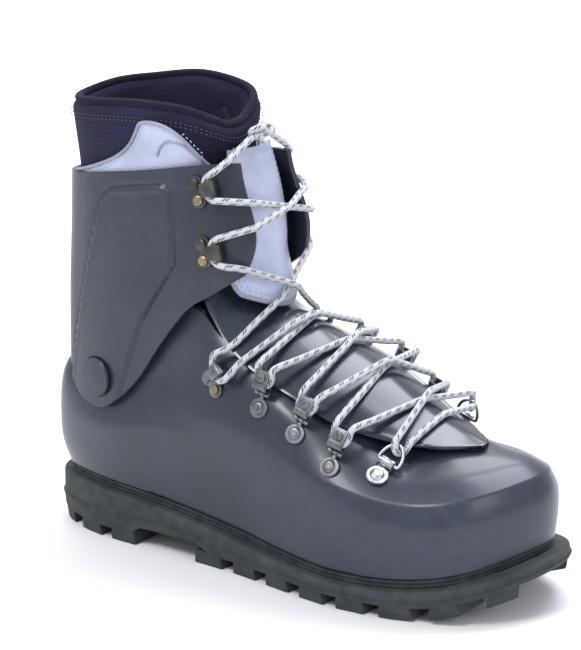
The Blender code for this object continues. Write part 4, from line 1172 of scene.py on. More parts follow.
class BOOT_OT_tongue(Operator):
    """Glossy tongue over the throat, with a rolled edge and flex grooves"""

    bl_idname = "boot.tongue"
    bl_label = "Tongue"

    def execute(self, context):
        rows = tongue_rows()
        TREES["tongue"] = tree_of(rows, closed=False)
        count = len(rows[0])
        normals = skin_normals(rows, closed=False)
        up = 1 if normals[20][count // 2].z > 0 else -1
        for k, (row, line) in enumerate(zip(rows, normals)):
            for i, (point, normal) in enumerate(zip(row, line)):
                edge = min(i, count - 1 - i) / count
                bead = 0.55 * math.exp(-((edge - 0.045) / 0.02) ** 2)
                flex = 0.45 * sum(math.exp(-((k - c) / 1.1) ** 2) for c in (27, 31, 35)) * ease((edge - 0.1) / 0.08)
                row[i] = point + normal * up * (bead - flex)
        mesh = skin(rows, closed=False)
        bmesh.ops.recalc_face_normals(mesh, faces=mesh.faces)
        top = max(mesh.faces, key=lambda f: f.calc_center_median().z)
        if top.normal.z < 0:
            bmesh.ops.reverse_faces(mesh, faces=mesh.faces[:])
        bmesh.ops.solidify(mesh, geom=mesh.faces[:], thickness=2.2)
        bmesh.ops.recalc_face_normals(mesh, faces=mesh.faces)
        border = sharp_edges(mesh, 60)
        bmesh.ops.bevel(mesh, geom=border, offset=0.7, offset_type="OFFSET", affect="EDGES", segments=3, profile=0.5,
                        material=-1, clamp_overlap=True)
        add_piece("tongue_moulding", mesh, PAINTS["tongue"], "shell", ["tongue_lower"], 45)
        return {"FINISHED"}


# ---------------------------------------------------------------- padded inner boot
def puffed(name, mesh, pressure, cap, paints, replaces, steps=20):
    """A padded sleeve whose faces a cloth simulation blows up like foam, held to at most cap millimetres."""
    piece = add_piece(name, mesh, paints, None, replaces, 60)
    before = [v.co.copy() for v in piece.data.vertices]
    cloth = piece.modifiers.new("foam", "CLOTH")
    cloth.settings.quality = 5
    cloth.settings.mass = 0.3
    cloth.settings.use_pressure = True
    cloth.settings.uniform_pressure_force = pressure
    cloth.settings.tension_stiffness = 12
    cloth.settings.compression_stiffness = 12
    cloth.settings.shear_stiffness = 6
    cloth.settings.bending_stiffness = 0.6
    cloth.settings.effector_weights.gravity = 0
    cloth.collision_settings.use_collision = False
    pins = piece.vertex_groups.new(name="pins")
    pins.add([v.index for v in piece.data.vertices if is_seam(v.co)], 1.0, "REPLACE")
    cloth.settings.vertex_group_mass = "pins"
    for step in range(1, steps + 1):
        bpy.context.scene.frame_set(step)
    shaped = piece.evaluated_get(bpy.context.evaluated_depsgraph_get())
    after = [v.co.copy() for v in shaped.data.vertices]
    piece.modifiers.remove(cloth)
    piece.vertex_groups.remove(pins)
    bpy.context.scene.frame_set(1)
    limit = cap * MM
    for vertex, old, new in zip(piece.data.vertices, before, after):
        move = new - old
        if move.length > limit:
            move *= limit / move.length
        vertex.co = old + move
    return piece


def is_seam(point):
    """Whether a point of the collar lies on a sewn line: its lower edge, or the stitching under the rim."""
    height = point.z / MM
    return height < COLLAR_BOTTOM + 2 or any(abs(height - line) < 1.3 for line in COLLAR_SEAMS)


class BOOT_OT_collar(Operator):
    """Padded knitted collar, blown up by a cloth simulation"""

    bl_idname = "boot.collar"
    bl_label = "Padded collar"

    def execute(self, context):
        soft = settings().soft
        pad = in_mm(soft.collar_pad)
        rows = 34
        rings = rings_across(collar_columns(rows), 6)
        TREES["collar"] = tree_of(rings)
        crest = drawn_in(rings[-1], pad / 2, 3.5)
        layers = [drawn_in(rings[0], 2.0)] + rings + [
            [a.lerp(b, 0.5) + Vector((0, 0, 1.0)) for a, b in zip(rings[-1], crest)], crest]
        inner = [drawn_in(ring, pad) for ring in reversed(rings)]
        layers += [[a.lerp(b, 0.5) + Vector((0, 0, 1.0)) for a, b in zip(inner[0], crest)]] + inner
        layers.append(drawn_in(rings[0], pad - 2.0))
        layers.append(layers[0])
        mesh = skin(layers)
        bmesh.ops.remove_doubles(mesh, verts=mesh.verts, dist=1e-3)
        bmesh.ops.recalc_face_normals(mesh, faces=mesh.faces)
        piece = puffed("collar_padding", mesh, soft.pad_pressure, 2.2, PAINTS["knit"],
                       ["liner_collar"])
        smoother = piece.modifiers.new("smooth", "SUBSURF")
        smoother.levels = smoother.render_levels = 1
        lean_with_cuff(piece)
        return {"FINISHED"}


class BOOT_OT_collar_trim(Operator):
    """Rolled binding of the collar's rim, and the two rows of stitches under it"""

    bl_idname = "boot.collar_trim"
    bl_label = "Collar trim"

    def execute(self, context):
        soft = settings().soft
        pad = in_mm(soft.collar_pad)
        rings = rings_across(collar_columns(34), 6)
        length = in_mm(soft.stitch_length)
        crest = drawn_in(rings[-1], pad / 2 - 0.8, 4.2)
        binding = tube(crest, 2.5, 12, closed=True)
        lines = []
        for height in (3.2, 5.2):
            line = [p + outward(rings[-1], i) * 0.75 - Vector((0, 0, height)) for i, p in enumerate(rings[-1])]
            lines.append(stitches(line + line[:1], Vector((0, 0, 0)), length * 0.8, 1.1, 0.32))
        trim = add_piece("collar_binding", binding, PAINTS["binding"], None, (), 60)
        lean_with_cuff(trim)
        thread = add_piece("collar_stitches", together(lines), PAINTS["dark_thread"], None, (), 60)
        lean_with_cuff(thread)
        return {"FINISHED"}


class BOOT_OT_side_panels(Operator):
    """Silver side panels of the collar with piping and a row of stitches"""

    bl_idname = "boot.side_panels"
    bl_label = "Side panels"

    def execute(self, context):
        length = in_mm(settings().soft.stitch_length)
        upper = spline([Vector((x, 0, z)) for x, z in SIDE_PANEL_EDGE], 6)
        for name, side in SIDES.items():
            lift = 0.0 if side < 0 else 5.0
            grid = []
            for k in range(15):
                line = []
                for p in upper:
                    height = 203 + (p.z + lift * ease((p.z - 225) / 25) - 203) * k / 14
                    point, normal, _, _ = TREES["collar"].ray_cast(Vector((p.x, side * 90, height)),
                                                                   Vector((0, -side, 0)))
                    if point is None:
                        point, normal, _, _ = TREES["collar"].find_nearest(Vector((p.x, side * 36, height)))
                    line.append((point, normal if normal.y * side > 0 else -normal))
                grid.append(line)
            outer = [[p + n * 2.5 for p, n in line] for line in grid]
            mesh = facing(skin(outer, closed=False), (72, 0, 230))
            bmesh.ops.solidify(mesh, geom=mesh.faces[:], thickness=1.8)
            panel = add_piece(f"side_panel_{name}", mesh, PAINTS["silver"], None, (), 60)
            lean_with_cuff(panel)
            rim = outer[-1]
            edge = add_piece(f"side_piping_{name}", tube([p + n * 0.1 for p, (_, n) in zip(rim, grid[-1])], 1.1, 10),
                             PAINTS["edging"], None, (), 60)
            lean_with_cuff(edge)
            seam = []
            for i, (p, (_, n)) in enumerate(zip(rim, grid[-1])):
                ahead = rim[min(i + 1, len(rim) - 1)] - rim[max(i - 1, 0)]
                inward = n.cross(ahead).normalized()
                inward = inward if inward.z < 0 or inward.x > 0.6 else -inward
                seam.append(p + inward * 2.6 + n * 0.25)
            sewn = add_piece(f"side_stitches_{name}", stitches(seam, Vector((0, 0, 0)), length * 0.8, 1.0, 0.32),
                             PAINTS["thread"], None, (), 60)
            lean_with_cuff(sewn)
            tunnel = []
            for x, z in ((92, 236), (95, 242), (101, 245), (108, 243), (113, 238)):
                point, normal, _, _ = TREES["collar"].ray_cast(Vector((x, side * 90, z)), Vector((0, -side, 0)))
                tunnel.append(point + (normal if normal.y * side > 0 else -normal) * 2.6)
            arc = add_piece(f"lace_tunnel_{name}", tube(spline(tunnel, 6), 0.8, 8), PAINTS["edging"],
                            None, (), 60)
            lean_with_cuff(arc)
        return {"FINISHED"}


class BOOT_OT_liner_tongue(Operator):
    """Knitted tongue of the inner boot, folded where it stands above the panel"""

    bl_idname = "boot.liner_tongue"
    bl_label = "Liner tongue"

    def execute(self, context):
        rows = []
        for k in range(25):
            t = k / 24
            row = []
            for i in range(25):
                s = -1 + 2 * i / 24
                half = 23 - 5 * t
                fold = 4.5 * t * math.exp(-((s + 0.35) / 0.22) ** 2) - 2.5 * t * math.exp(-((s - 0.15) / 0.25) ** 2)
                x = 124 - 5 * t - 9 * s * s + fold
                z = 214 + (40 + 8 * math.exp(-((s + 0.3) / 0.45) ** 2) - 8 * s * s) * t
                row.append(Vector((x - 10 * t * t * (0.4 + 0.6 * s * s), s * half, z)))
            rows.append(row)
        mesh = facing(skin(rows, closed=False), (60, 0, 230))
        bmesh.ops.solidify(mesh, geom=mesh.faces[:], thickness=3.2)
        edges = sharp_edges(mesh, 60)
        bmesh.ops.bevel(mesh, geom=edges, offset=1.2, offset_type="OFFSET", affect="EDGES", segments=3, profile=0.5,
                        material=-1, clamp_overlap=True)
        add_piece("liner_tongue", mesh, PAINTS["knit"], "cuff", (), 60)
        return {"FINISHED"}


class BOOT_OT_lining(Operator):
    """Lining of the foot, the footbed and the board under it"""

    bl_idname = "boot.lining"
    bl_label = "Lining and footbed"

    def execute(self, context):
        rings = shell_rings(6, 4)
        outer = offset(rings, -6.4)[1:]
        sole_ring = [p - outward(rings[0], i) * 8 + Vector((0, 0, 5.8)) for i, p in enumerate(rings[0])]

        def shrunk(ring, distance):
            found = []
            for p in ring:
                x = min(max(p.x, 62.0), 268.0)
                ceiling = 135 - 73 * (x - 105) / 163
                middle = Vector((x, 1.5, min(max(p.z, 56.0), max(ceiling, 57.0))))
                found.append(p + (middle - p).normalized() * distance)
            return found

        floor = [p - outward(rings[0], i) * 13 + Vector((0, 0, 9.8)) for i, p in enumerate(rings[0])]
        lining = [shrunk(ring, 5) for ring in outer]
        rim = [a.lerp(b, 0.5) + Vector((0, 0, 1.2)) for a, b in zip(outer[-1], lining[-1])]
        sock = skin([sole_ring, *outer, rim, *lining[::-1], floor], cap_low=True, cap_high=True)
        bmesh.ops.recalc_face_normals(sock, faces=sock.faces)
        add_piece("foot_lining", sock, PAINTS["lining"], "shell", ["liner_foot"], 50)

        def bed(inset, low, high, bevel):
            layers = [[p - outward(rings[0], i) * (inset + more) + Vector((0, 0, height)) for i, p in
                       enumerate(rings[0])] for more, height in ((bevel, low), (0, low + bevel), (0, high - bevel),
                                                                 (bevel, high))]
            mesh = skin(layers, cap_low=True, cap_high=True)
            bmesh.ops.recalc_face_normals(mesh, faces=mesh.faces)
            return mesh

        add_piece("sock_footbed", bed(14.5, 10.2, 13.2, 0.7), PAINTS["felt"], "shell", ["footbed"])
        add_piece("lasting_board", bed(6, 3.4, 5.4, 0.4), PAINTS["board"], "shell", ["insole_board"])
        return {"FINISHED"}


class BOOT_OT_tongue_panel(Operator):
    """Padded silver panel over the ankle, bound and sewn twice round its edge"""

    bl_idname = "boot.tongue_panel"
    bl_label = "Tongue panel"

    def execute(self, context):
        length = in_mm(settings().soft.stitch_length)
        across, up = 24, 56

        def at(s, t):
            point = panel_point(s, t)
            side_step, up_step = panel_point(min(s + 0.02, 1), t) - panel_point(max(s - 0.02, -1), t), \
                panel_point(s, min(t + 0.01, 1)) - panel_point(s, max(t - 0.01, 0))
            normal = side_step.cross(up_step).normalized()
            normal = normal if normal.x > 0 else -normal
            return point, normal

        def bottom(s, t):
            """Row position that rounds the lower corners into a U."""
            return t + (1 - t) * 0.13 * abs(s) ** 2.6

        pad = []
        for k in range(up + 1):
            t = k / up
            row = []
            for i in range(across + 1):
                s = -1 + 2 * i / across
                point, normal = at(s, bottom(s, t))
                edge = min(1 - abs(s), t * 1.6, (1 - t) * 2.4)
                swell = 1.3 * ease(edge / 0.28) - 0.5 * math.exp(-((edge - 0.13) / 0.035) ** 2)
                row.append(point + normal * swell)
            pad.append(row)
        TREES["panel"] = tree_of(pad, closed=False)
        mesh = skin(pad, closed=False)
        mesh.normal_update()
        if sum(f.normal.x for f in mesh.faces) < 0:
            bmesh.ops.reverse_faces(mesh, faces=mesh.faces[:])
        bmesh.ops.solidify(mesh, geom=mesh.faces[:], thickness=2.2)
        bmesh.ops.recalc_face_normals(mesh, faces=mesh.faces)
        panel = add_piece("tongue_cloth", mesh, PAINTS["silver"], None, ["tongue_flap", "tongue_upper"],
                          60)
        lean_with_cuff(panel)
        border = ([at(-1, bottom(-1, 1 - k / 40)) for k in range(41)]
                  + [at(-1 + 2 * k / 40, bottom(-1 + 2 * k / 40, 0)) for k in range(1, 40)]
                  + [at(1, bottom(1, k / 40)) for k in range(41)])
        edge = tube([p - n * 0.7 for p, n in border], 1.35, 10)
        binding = add_piece("tongue_binding", edge, PAINTS["edging"], None, (), 60)
        lean_with_cuff(binding)
        rows = []
        for inset, low in ((0.1, 0.035), (0.2, 0.075)):
            path = ([at(-1 + inset, bottom(-1 + inset, 1 - k * (1 - low) / 40)) for k in range(41)]
                    + [at(-(1 - inset) + 2 * (1 - inset) * k / 40, low + bottom(-(1 - inset) + 2 * (1 - inset) * k / 40, 0))
                       for k in range(1, 40)]
                    + [at(1 - inset, bottom(1 - inset, low + k * (1 - low) / 40)) for k in range(41)])
            rise = 0.75 if inset < 0.15 else 1.0
            rows.append(stitches([p + n * rise for p, n in path], Vector((0, 0, 0)), length, 1.0, 0.36))
        sewn = add_piece("tongue_stitches", together(rows), PAINTS["thread"], None, (), 60)
        lean_with_cuff(sewn)
        return {"FINISHED"}


# ---------------------------------------------------------------- metal pieces
def hardware_frames():
    """Frames of every lace piece, by kind, side and number."""
    frames = {}
    for name, side in SIDES.items():
        for number in (1, 2, 3):
            frames["guide", name, number] = guide_frame(name, number)
        frames["ring", name] = ring_frame(name)
        frames["lock", name] = seat(TREES["seats"], *LOCK_HOOKS[name], side, SEAT_LIFT)
        for number, (spot, towards) in enumerate(CUFF_HOOKS, 1):
            frames["cuff", name, number] = seat(TREES["cuff"], spot, towards, side, SEAT_LIFT)
    return frames


def slotted_head(radius, low, height):
    """Low round head with a slot across it."""
    head = turned([(0, low), (radius - 0.3, low), (radius, low + 0.3), (radius, low + height - 0.5),
                   (radius - 0.5, low + height), (0, low + height + 0.15)])
    groove = block((-radius * 1.4, -0.3, low + height - 0.45), (radius * 1.4, 0.3, low + height + 1), 0.05, 1)
    return cut(head, [groove])


def ringed_head(radius, low, height):
    """Domed rivet head with an embossed ring."""
    top = low + height
    return turned([(0, low - 2.2), (1.6, low - 2.2), (1.6, low), (radius - 0.2, low), (radius, low + 0.25),
                   (radius * 0.93, top - 0.45), (radius * 0.82, top - 0.25), (radius * 0.72, top - 0.35),
                   (radius * 0.6, top - 0.05), (radius * 0.45, top - 0.05), (radius * 0.36, top - 0.3), (0, top - 0.28)])


class BOOT_OT_guides(Operator):
    """Riveted roller guides of the lace: disc, folded bracket, pin and roller"""

    bl_idname = "boot.guides"
    bl_label = "Roller guides"

    def execute(self, context):
        for name in SIDES:
            for number in (1, 2, 3):
                bracket = guide_frame(name, number)
                base = base_frame(bracket)
                tag = f"{name}_{number}"
                disc = turned([(0, -1.6), (2.0, -1.6), (2.0, -0.8), (5.2, -0.8), (5.6, -0.5), (5.6, 0.9), (5.2, 1.2), (3.8, 1.25),
                               (3.55, 1.6), (3.3, 2.3), (2.7, 2.75), (1.9, 2.85), (1.6, 2.6), (0, 2.55)], 36)
                ear = block((2.4, -1.15, 0.45), (8.7, 1.15, 1.4), 0.2)
                knuckle = rod((HINGE_X, 0, HINGE_Z), (0, 1, 0), 1.4, 3.0)
                add_piece(f"guide_disc_{tag}", moved(together([disc, ear, knuckle]), base), PAINTS["steel"],
                          "shell", [f"guide_base_{tag}"], 32)
                path = bend([(21.6, 1.15), (10.4, 1.15), (10.4, 7.75), (21.9, 7.75)], 1.7)
                sheet = folded(path, 9.4, 1.05, 0.25)
                parts = [sheet]
                for y in (-3.2, 3.2):
                    parts.append(rod((HINGE_X, y, HINGE_Z), (0, 1, 0), 1.4, 2.7))
                    parts.append(block((8.2, y - 1.1, 0.75), (11.2, y + 1.1, 1.6), 0.2))
                parts.append(rod((PIN_X, 0, 4.6), (0, 0, 1), 1.5, 8.0))
                parts.append(moved(slotted_head(2.75, 0, 1.2), Matrix.Translation((PIN_X, 0, 8.0))
                                   @ Matrix.Rotation(0.6 + number, 4, "Z")))
                strip = block((11.6, -4.1, 8.15), (14.6, 4.1, 8.55), 0.15)
                parts.append(strip)
                add_piece(f"guide_fork_{tag}", moved(together(parts), bracket), PAINTS["steel"],
                          f"guide_{tag}", [f"guide_bracket_{tag}"], 32)
                wheel = turned([(1.8, 2.0), (2.5, 2.0), (2.55, 2.5), (2.2, 3.3), (2.1, 4.45), (2.2, 5.6), (2.55, 6.4),
                                (2.5, 6.9), (1.8, 6.9), (1.8, 2.0)])
                add_piece(f"guide_wheel_{tag}", moved(wheel, bracket @ Matrix.Translation((PIN_X, 0, 0))),
                          PAINTS["steel"], f"roller_{tag}", [f"guide_roller_{tag}"], 32)
        return {"FINISHED"}


class BOOT_OT_rings(Operator):
    """D-rings of the lowest crossing, each held by a riveted tab"""

    bl_idname = "boot.rings"
    bl_label = "D-rings"

    def execute(self, context):
        wire = in_mm(settings().lacing.wire_radius)
        for name in SIDES:
            base = ring_frame(name)
            disc = turned([(0, -1.6), (2.0, -1.6), (2.0, -0.8), (5.8, -0.8), (6.2, -0.5), (6.2, 0.9), (5.8, 1.2), (4.1, 1.25),
                           (3.8, 1.6), (3.5, 2.4), (2.9, 2.85), (2.1, 2.95), (1.8, 2.7), (0, 2.65)], 36)
            fold = [(RING_HINGE.x + 1.95 * math.cos(a), RING_HINGE.z + 1.95 * math.sin(a))
                    for a in (math.radians(d) for d in range(-90, 181, 15))]
            tab = folded([(3.2, 0.75), (6.5, 0.75), (8.0, 0.6)] + fold + [(RING_HINGE.x - 1.9, 1.75), (6.6, 1.75)],
                         8.0, 0.7, 0.15)
            add_piece(f"ring_tab_{name}", moved(together([disc, tab]), base), PAINTS["nickel"], "shell",
                      [f"ring_base_{name}"], 32)
            matrix = base @ Matrix.Translation(RING_HINGE) @ Matrix.Rotation(-RING_TILT, 4, "Y")
            outline = [Vector((0, y, 0)) for y in (-6.1, -4, -2, 0, 2, 4, 6.1)]
            for k in range(0, 25):
                angle = math.pi * (k + 0.5) / 25
                outline.append(Vector((1.2 + (RING_REACH - 1.2) * math.sin(angle), 6.6 * math.cos(angle), 0)))
            loop = tube(spline(outline, 2, closed=True), wire, 14, closed=True, up=(0, 0, 1))
            add_piece(f"ring_wire_{name}", moved(loop, matrix), PAINTS["nickel"], f"ring_{name}",
                      [f"d_ring_{name}"], 40)
        return {"FINISHED"}


class BOOT_OT_hooks(Operator):
    """Lace hooks on the cuff and locking hooks at the ankle, each with two rivets"""

    bl_idname = "boot.hooks"
    bl_label = "Lace hooks"

    def execute(self, context):
        frames = hardware_frames()
        for name, side in SIDES.items():
            self.hook(f"locking_hook_{name}", frames["lock", name], side, 8.0, "steel", "shell")
            for number in (1, 2):
                self.hook(f"cuff_hook_{name}_{number}", frames["cuff", name, number], side, 9.0, "bronze", "cuff")
        return {"FINISHED"}

    def hook(self, tag, matrix, side, width, paint, body):
        """One hook: two lobes, a waisted neck and a lip folded back over the lace."""
        parts = []
        for y in (-4.7, 4.7):
            lobe = turned([(0, -0.8), (4.3, -0.8), (4.6, -0.55), (4.6, 0.95), (4.35, 1.2), (0, 1.2)], 36)
            parts.append(moved(lobe, Matrix.Translation((0, y, 0))))
        parts.append(block((-2.6, -2.5, -0.7), (3.9, 2.5, 1.15), 0.2))
        path = bend([(2.8, 0.6), (12.5, 0.6), (12.5, 6.95), (5.2, 6.95)], 1.9)
        strip = folded(path, width, 1.1, 0.3)
        for vertex in strip.verts:
            x, z = vertex.co.x, vertex.co.z
            if z < 2 and x < 10:
                vertex.co.y *= 0.78 + 0.22 * ease(abs(x - 6.5) / 3.5)
            if z > 6:
                vertex.co.y *= 1 - 0.16 * ease((8.5 - x) / 3.5)
        parts.append(strip)
        if body == "cuff":
            parts.append(block((6.4, -width * 0.3, 7.45), (11.2, width * 0.3, 7.75), 0.12))
        add_piece(f"{tag}_plate", moved(together(parts), matrix), PAINTS[paint], body, [tag], 32)
        for label, y, metal in (("a", -side * 4.7, "steel"), ("b", side * 4.7, "brass")):
            look = PAINTS["bronze"] if label == "a" and body == "cuff" else PAINTS[metal]
            head = ringed_head(2.95, 1.2, 1.75)
            add_piece(f"{tag}_head_{label}", moved(head, matrix @ Matrix.Translation((0, y, 0))), look, body,
                      [f"{tag}_rivet_{label}"], 30)


# ---------------------------------------------------------------- lace
def guide_turn(matrix, side, from_ankle):
    """The lace round a guide's roller, from the ankle's strand to the toe's or back."""
    points = []
    for degrees in (78, 112, 146, 180, 214, 248, 282):
        angle = math.radians(degrees)
        points.append((PIN_X + LOOP_RADIUS * math.cos(angle), -side * LOOP_RADIUS * math.sin(angle), LACE_Z))
    points = [(24.5, points[0][1] * 1.1, LACE_Z + 0.4), *points, (24.5, points[-1][1] * 1.1, LACE_Z + 0.4)]
    turn = [matrix @ Vector(p) for p in points]
    return turn if from_ankle else turn[::-1]


def hook_turn(matrix, side, from_top):
    """The lace behind a hook's neck, from its upper side to its lower side or back."""
    outline = [(15.5, 8.2, 6.0), (11.5, 7.2, 4.9), (8.4, 5.4, 4.0), (7.3, 2.8, 3.75), (7.1, 0, 3.75)]
    outline += [(x, -y, z) for x, y, z in outline[-2::-1]]
    turn = [matrix @ Vector((x, -side * y, z)) for x, y, z in outline]
    return turn if from_top else turn[::-1]


def ring_turn(matrix, side, from_ankle):
    """The lace over the ring's wire, through the ring and out below it."""
    middle = RING_HINGE + Vector((RING_REACH * math.cos(RING_TILT), 0, RING_REACH * math.sin(RING_TILT)))
    points = []
    for degrees, across in ((62, 2.8), (100, 2.3), (140, 1.2), (180, 0), (220, -1.2), (260, -2.3), (298, -2.8)):
        angle = math.radians(degrees)
        points.append(middle + Vector((3.8 * math.cos(angle), -side * across, 3.8 * math.sin(angle))))
    turn = [matrix @ p for p in points]
    return turn if from_ankle else turn[::-1]


def bends_down(a, b, c):
    """Whether the middle one of three spots lies below the line of the others, or just above it."""
    return b[1] < a[1] + (c[1] - a[1]) * (b[0] - a[0]) / (c[0] - a[0]) + 0.3


def drape(start, end, out, trees, laid):
    """Points of a strand pulled tight over the tongue and over the strands laid before it."""
    out = Vector(out).normalized()
    across = (end - start).normalized().cross(out).normalized()
    ahead = out.cross(across)
    radius = in_mm(settings().lacing.lace_radius)
    reach, pair = radius + STRAND_GAP, 2 * radius + STRAND_GAP
    prints = [(0.0, Vector((0, 0, 0)))]
    for ring in (0.5, 0.9):
        for k in range(8):
            angle = math.tau * k / 8
            prints.append((ring * reach, (across * math.cos(angle) + ahead * math.sin(angle)) * ring * reach))
    needs = [(0, 0.0)]
    for n in range(1, STRAND_STEPS):
        point = start.lerp(end, n / STRAND_STEPS)
        need = 0.0
        for distance, shift in prints:
            for tree in trees:
                hit = tree.ray_cast(point + shift + out * 70, -out, 82)[0]
                if hit is not None:
                    need = max(need, (hit - point).dot(out) + math.sqrt(reach ** 2 - distance ** 2))
        for other in laid:
            height = (other - point).dot(out)
            beside = (other - point - out * height).length
            if beside < pair:
                need = max(need, height + math.sqrt(pair ** 2 - beside ** 2))
        needs.append((n, need))
    needs.append((STRAND_STEPS, 0.0))
    tight = []
    for spot in needs:
        while len(tight) > 1 and bends_down(tight[-2], tight[-1], spot):
            tight.pop()
        tight.append(spot)
    points = []
    for (first, rise), (last, fall) in zip(tight, tight[1:]):
        parts = math.ceil((last - first) / STRAND_STEP)
        for k in range(parts):
            n = first + (last - first) * k / parts
            points.append(start.lerp(end, n / STRAND_STEPS) + out * (rise + (fall - rise) * k / parts))
    return points[1:]


def lace_route():
    """The lace from end to end: its points, and the stretches that its pieces cover."""
    frames = hardware_frames()
    order = [("lock", "lateral"), ("guide", "medial", 1), ("guide", "lateral", 2), ("guide", "medial", 3),
             ("ring", "lateral"), ("ring", "medial"), ("guide", "lateral", 3), ("guide", "medial", 2),
             ("guide", "lateral", 1), ("lock", "medial")]
    trees = [TREES[key] for key in ("shell", "cuff", "tongue", "panel")]
    turning = {"guide": guide_turn, "ring": ring_turn, "lock": hook_turn}
    turns = [turning[key[0]](frames[key], SIDES[key[1]], k < 5) for k, key in enumerate(order)]
    laid, strands = [], {}
    for k in (5, 6, 7, 8, 9, 4, 3, 2, 1):
        out = (0.4, 0, 1) if 2 < k < 8 else (0.6, 0, 1)
        strands[k] = drape(turns[k - 1][-1], turns[k][0], out, trees, laid)
        laid += spline([turns[k - 1][-1], *strands[k], turns[k][0]], 4)
    halves = {}
    for name, side in SIDES.items():
        other = "medial" if name == "lateral" else "lateral"
        start = hook_turn(frames["lock", name], side, False)[-1]
        hook = hook_turn(frames["cuff", other, 2], -side, False)
        upper = hook_turn(frames["cuff", name, 1], side, False)
        ankle = drape(start, hook[0], (1, 0, 0.35), trees, laid)
        laid += spline([start, *ankle, hook[0]], 4)
        strand = drape(hook[-1], upper[0], (1, 0, 0.1), trees, laid)
        laid += spline([hook[-1], *strand, upper[0]], 4)
        end = KNOT + Vector((0, side * 9, -1))
        last = drape(upper[-1], end, (1, 0, 0.2), trees, laid)
        halves[name] = (ankle, hook + strand + upper + last[:-1] + [end])
    route = halves["lateral"][1][::-1]
    marks = [("upper", "lateral", 0)]
    marks.append(("ankle", "lateral", len(route) - 1))
    route += halves["lateral"][0][::-1]
    marks.append(("loop", order[0], len(route)))
    for k, turn in enumerate(turns):
        if k:
            middle = len(route) + len(strands[k]) // 2
            marks.append(("loop", order[k], min(middle, len(route) + len(strands[k]) - 1)))
            route += strands[k]
        route += turn
    marks.append(("ankle", "medial", len(route) - 1))
    route += halves["medial"][0]
    marks.append(("upper", "medial", len(route)))
    route += halves["medial"][1]
    marks.append(("end", None, len(route) - 1))
    return frames, route, marks


class BOOT_OT_lace(Operator):
    """One lace, in stretches that follow the guides, the rings and the cuff"""

    bl_idname = "boot.lace"
    bl_label = "Lace"

    def execute(self, context):
        frames, route, marks = lace_route()
        radius = in_mm(settings().lacing.lace_radius)
        fine = spline(route, LACE_FINENESS)
        normals = carried(fine)
        reached = [0.0]
        for a, b in zip(fine, fine[1:]):
            reached.append(reached[-1] + (b - a).length)
        waiting = {"lace_lower"}
        for (kind, key, first), (_, _, last) in zip(marks, marks[1:]):
            low, high = first * LACE_FINENESS, last * LACE_FINENESS
            cord = tube(fine[low:high + 1], radius, 12, normals=normals[low:high + 1], start=reached[low] * MM)
            label = key if isinstance(key, str) else "_".join(str(k) for k in key)
            replaced = {"upper": [f"lace_upper_{key}"], "ankle": [f"lace_ankle_{key}"]}.get(kind)
            if replaced is None:
                replaced = list(waiting)
                waiting.clear()
            piece = add_piece(f"lace_{kind}_{label}", cord, PAINTS["lace"], None, replaced, 70)
            if kind == "upper":
                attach(piece, "cuff")
            elif kind == "ankle":
                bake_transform(piece)
            elif key[0] == "lock":
                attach(piece, "shell")
            else:
                body = f"guide_{key[1]}_{key[2]}" if key[0] == "guide" else f"ring_{key[1]}"
                matrix = frames[key]
                tuple(place(matrix @ Vector((30, 0, LACE_Z))))
                tuple(place(matrix @ Vector((21.5, 0, LACE_Z))))
                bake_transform(piece)
        return {"FINISHED"}


class BOOT_OT_knot(Operator):
    """Flat overhand knot that ends the lacing"""

    bl_idname = "boot.knot"
    bl_label = "Lace knot"

    def execute(self, context):
        radius = in_mm(settings().lacing.lace_radius)
        path = []
        for k in range(96):
            a = math.tau * k / 96
            x = math.sin(3 * a) * 2.1
            y = (math.sin(a) + 2 * math.sin(2 * a)) * 3.1
            z = (math.cos(a) - 2 * math.cos(2 * a)) * 1.55
            path.append(KNOT + Vector((x + 0.6, y, z + 0.6)))
        loop = tube(path, radius * 0.97, 12, closed=True)
        ears = []
        for side in (-1, 1):
            ear = spline([KNOT + Vector(p) for p in ((-0.5, side * 1.0, 0.4), (1.5, side * 4.0, -0.6),
                                                     (0.6, side * 8.5, -1.0))], 8)
            ears.append(tube(ear, radius, 12))
        add_piece("lace_bow_knot", together([loop, *ears]), PAINTS["lace"], "cuff", ["lace_knot"], 70)
        return {"FINISHED"}


# ---------------------------------------------------------------- stage
def soft_light(name, place_at, aim, size, energy, colour):
    """A square softbox that looks at a point."""
    light = bpy.data.lights.new(name, "AREA")
    light.shape = "SQUARE"
    light.size = size
    light.energy = energy
    light.color = colour
    item = bpy.data.objects.new(name, light)
    item.location = place_at
    item.rotation_euler = (Vector(aim) - Vector(place_at)).to_track_quat("-Z", "Y").to_euler()
    bpy.context.collection.objects.link(item)


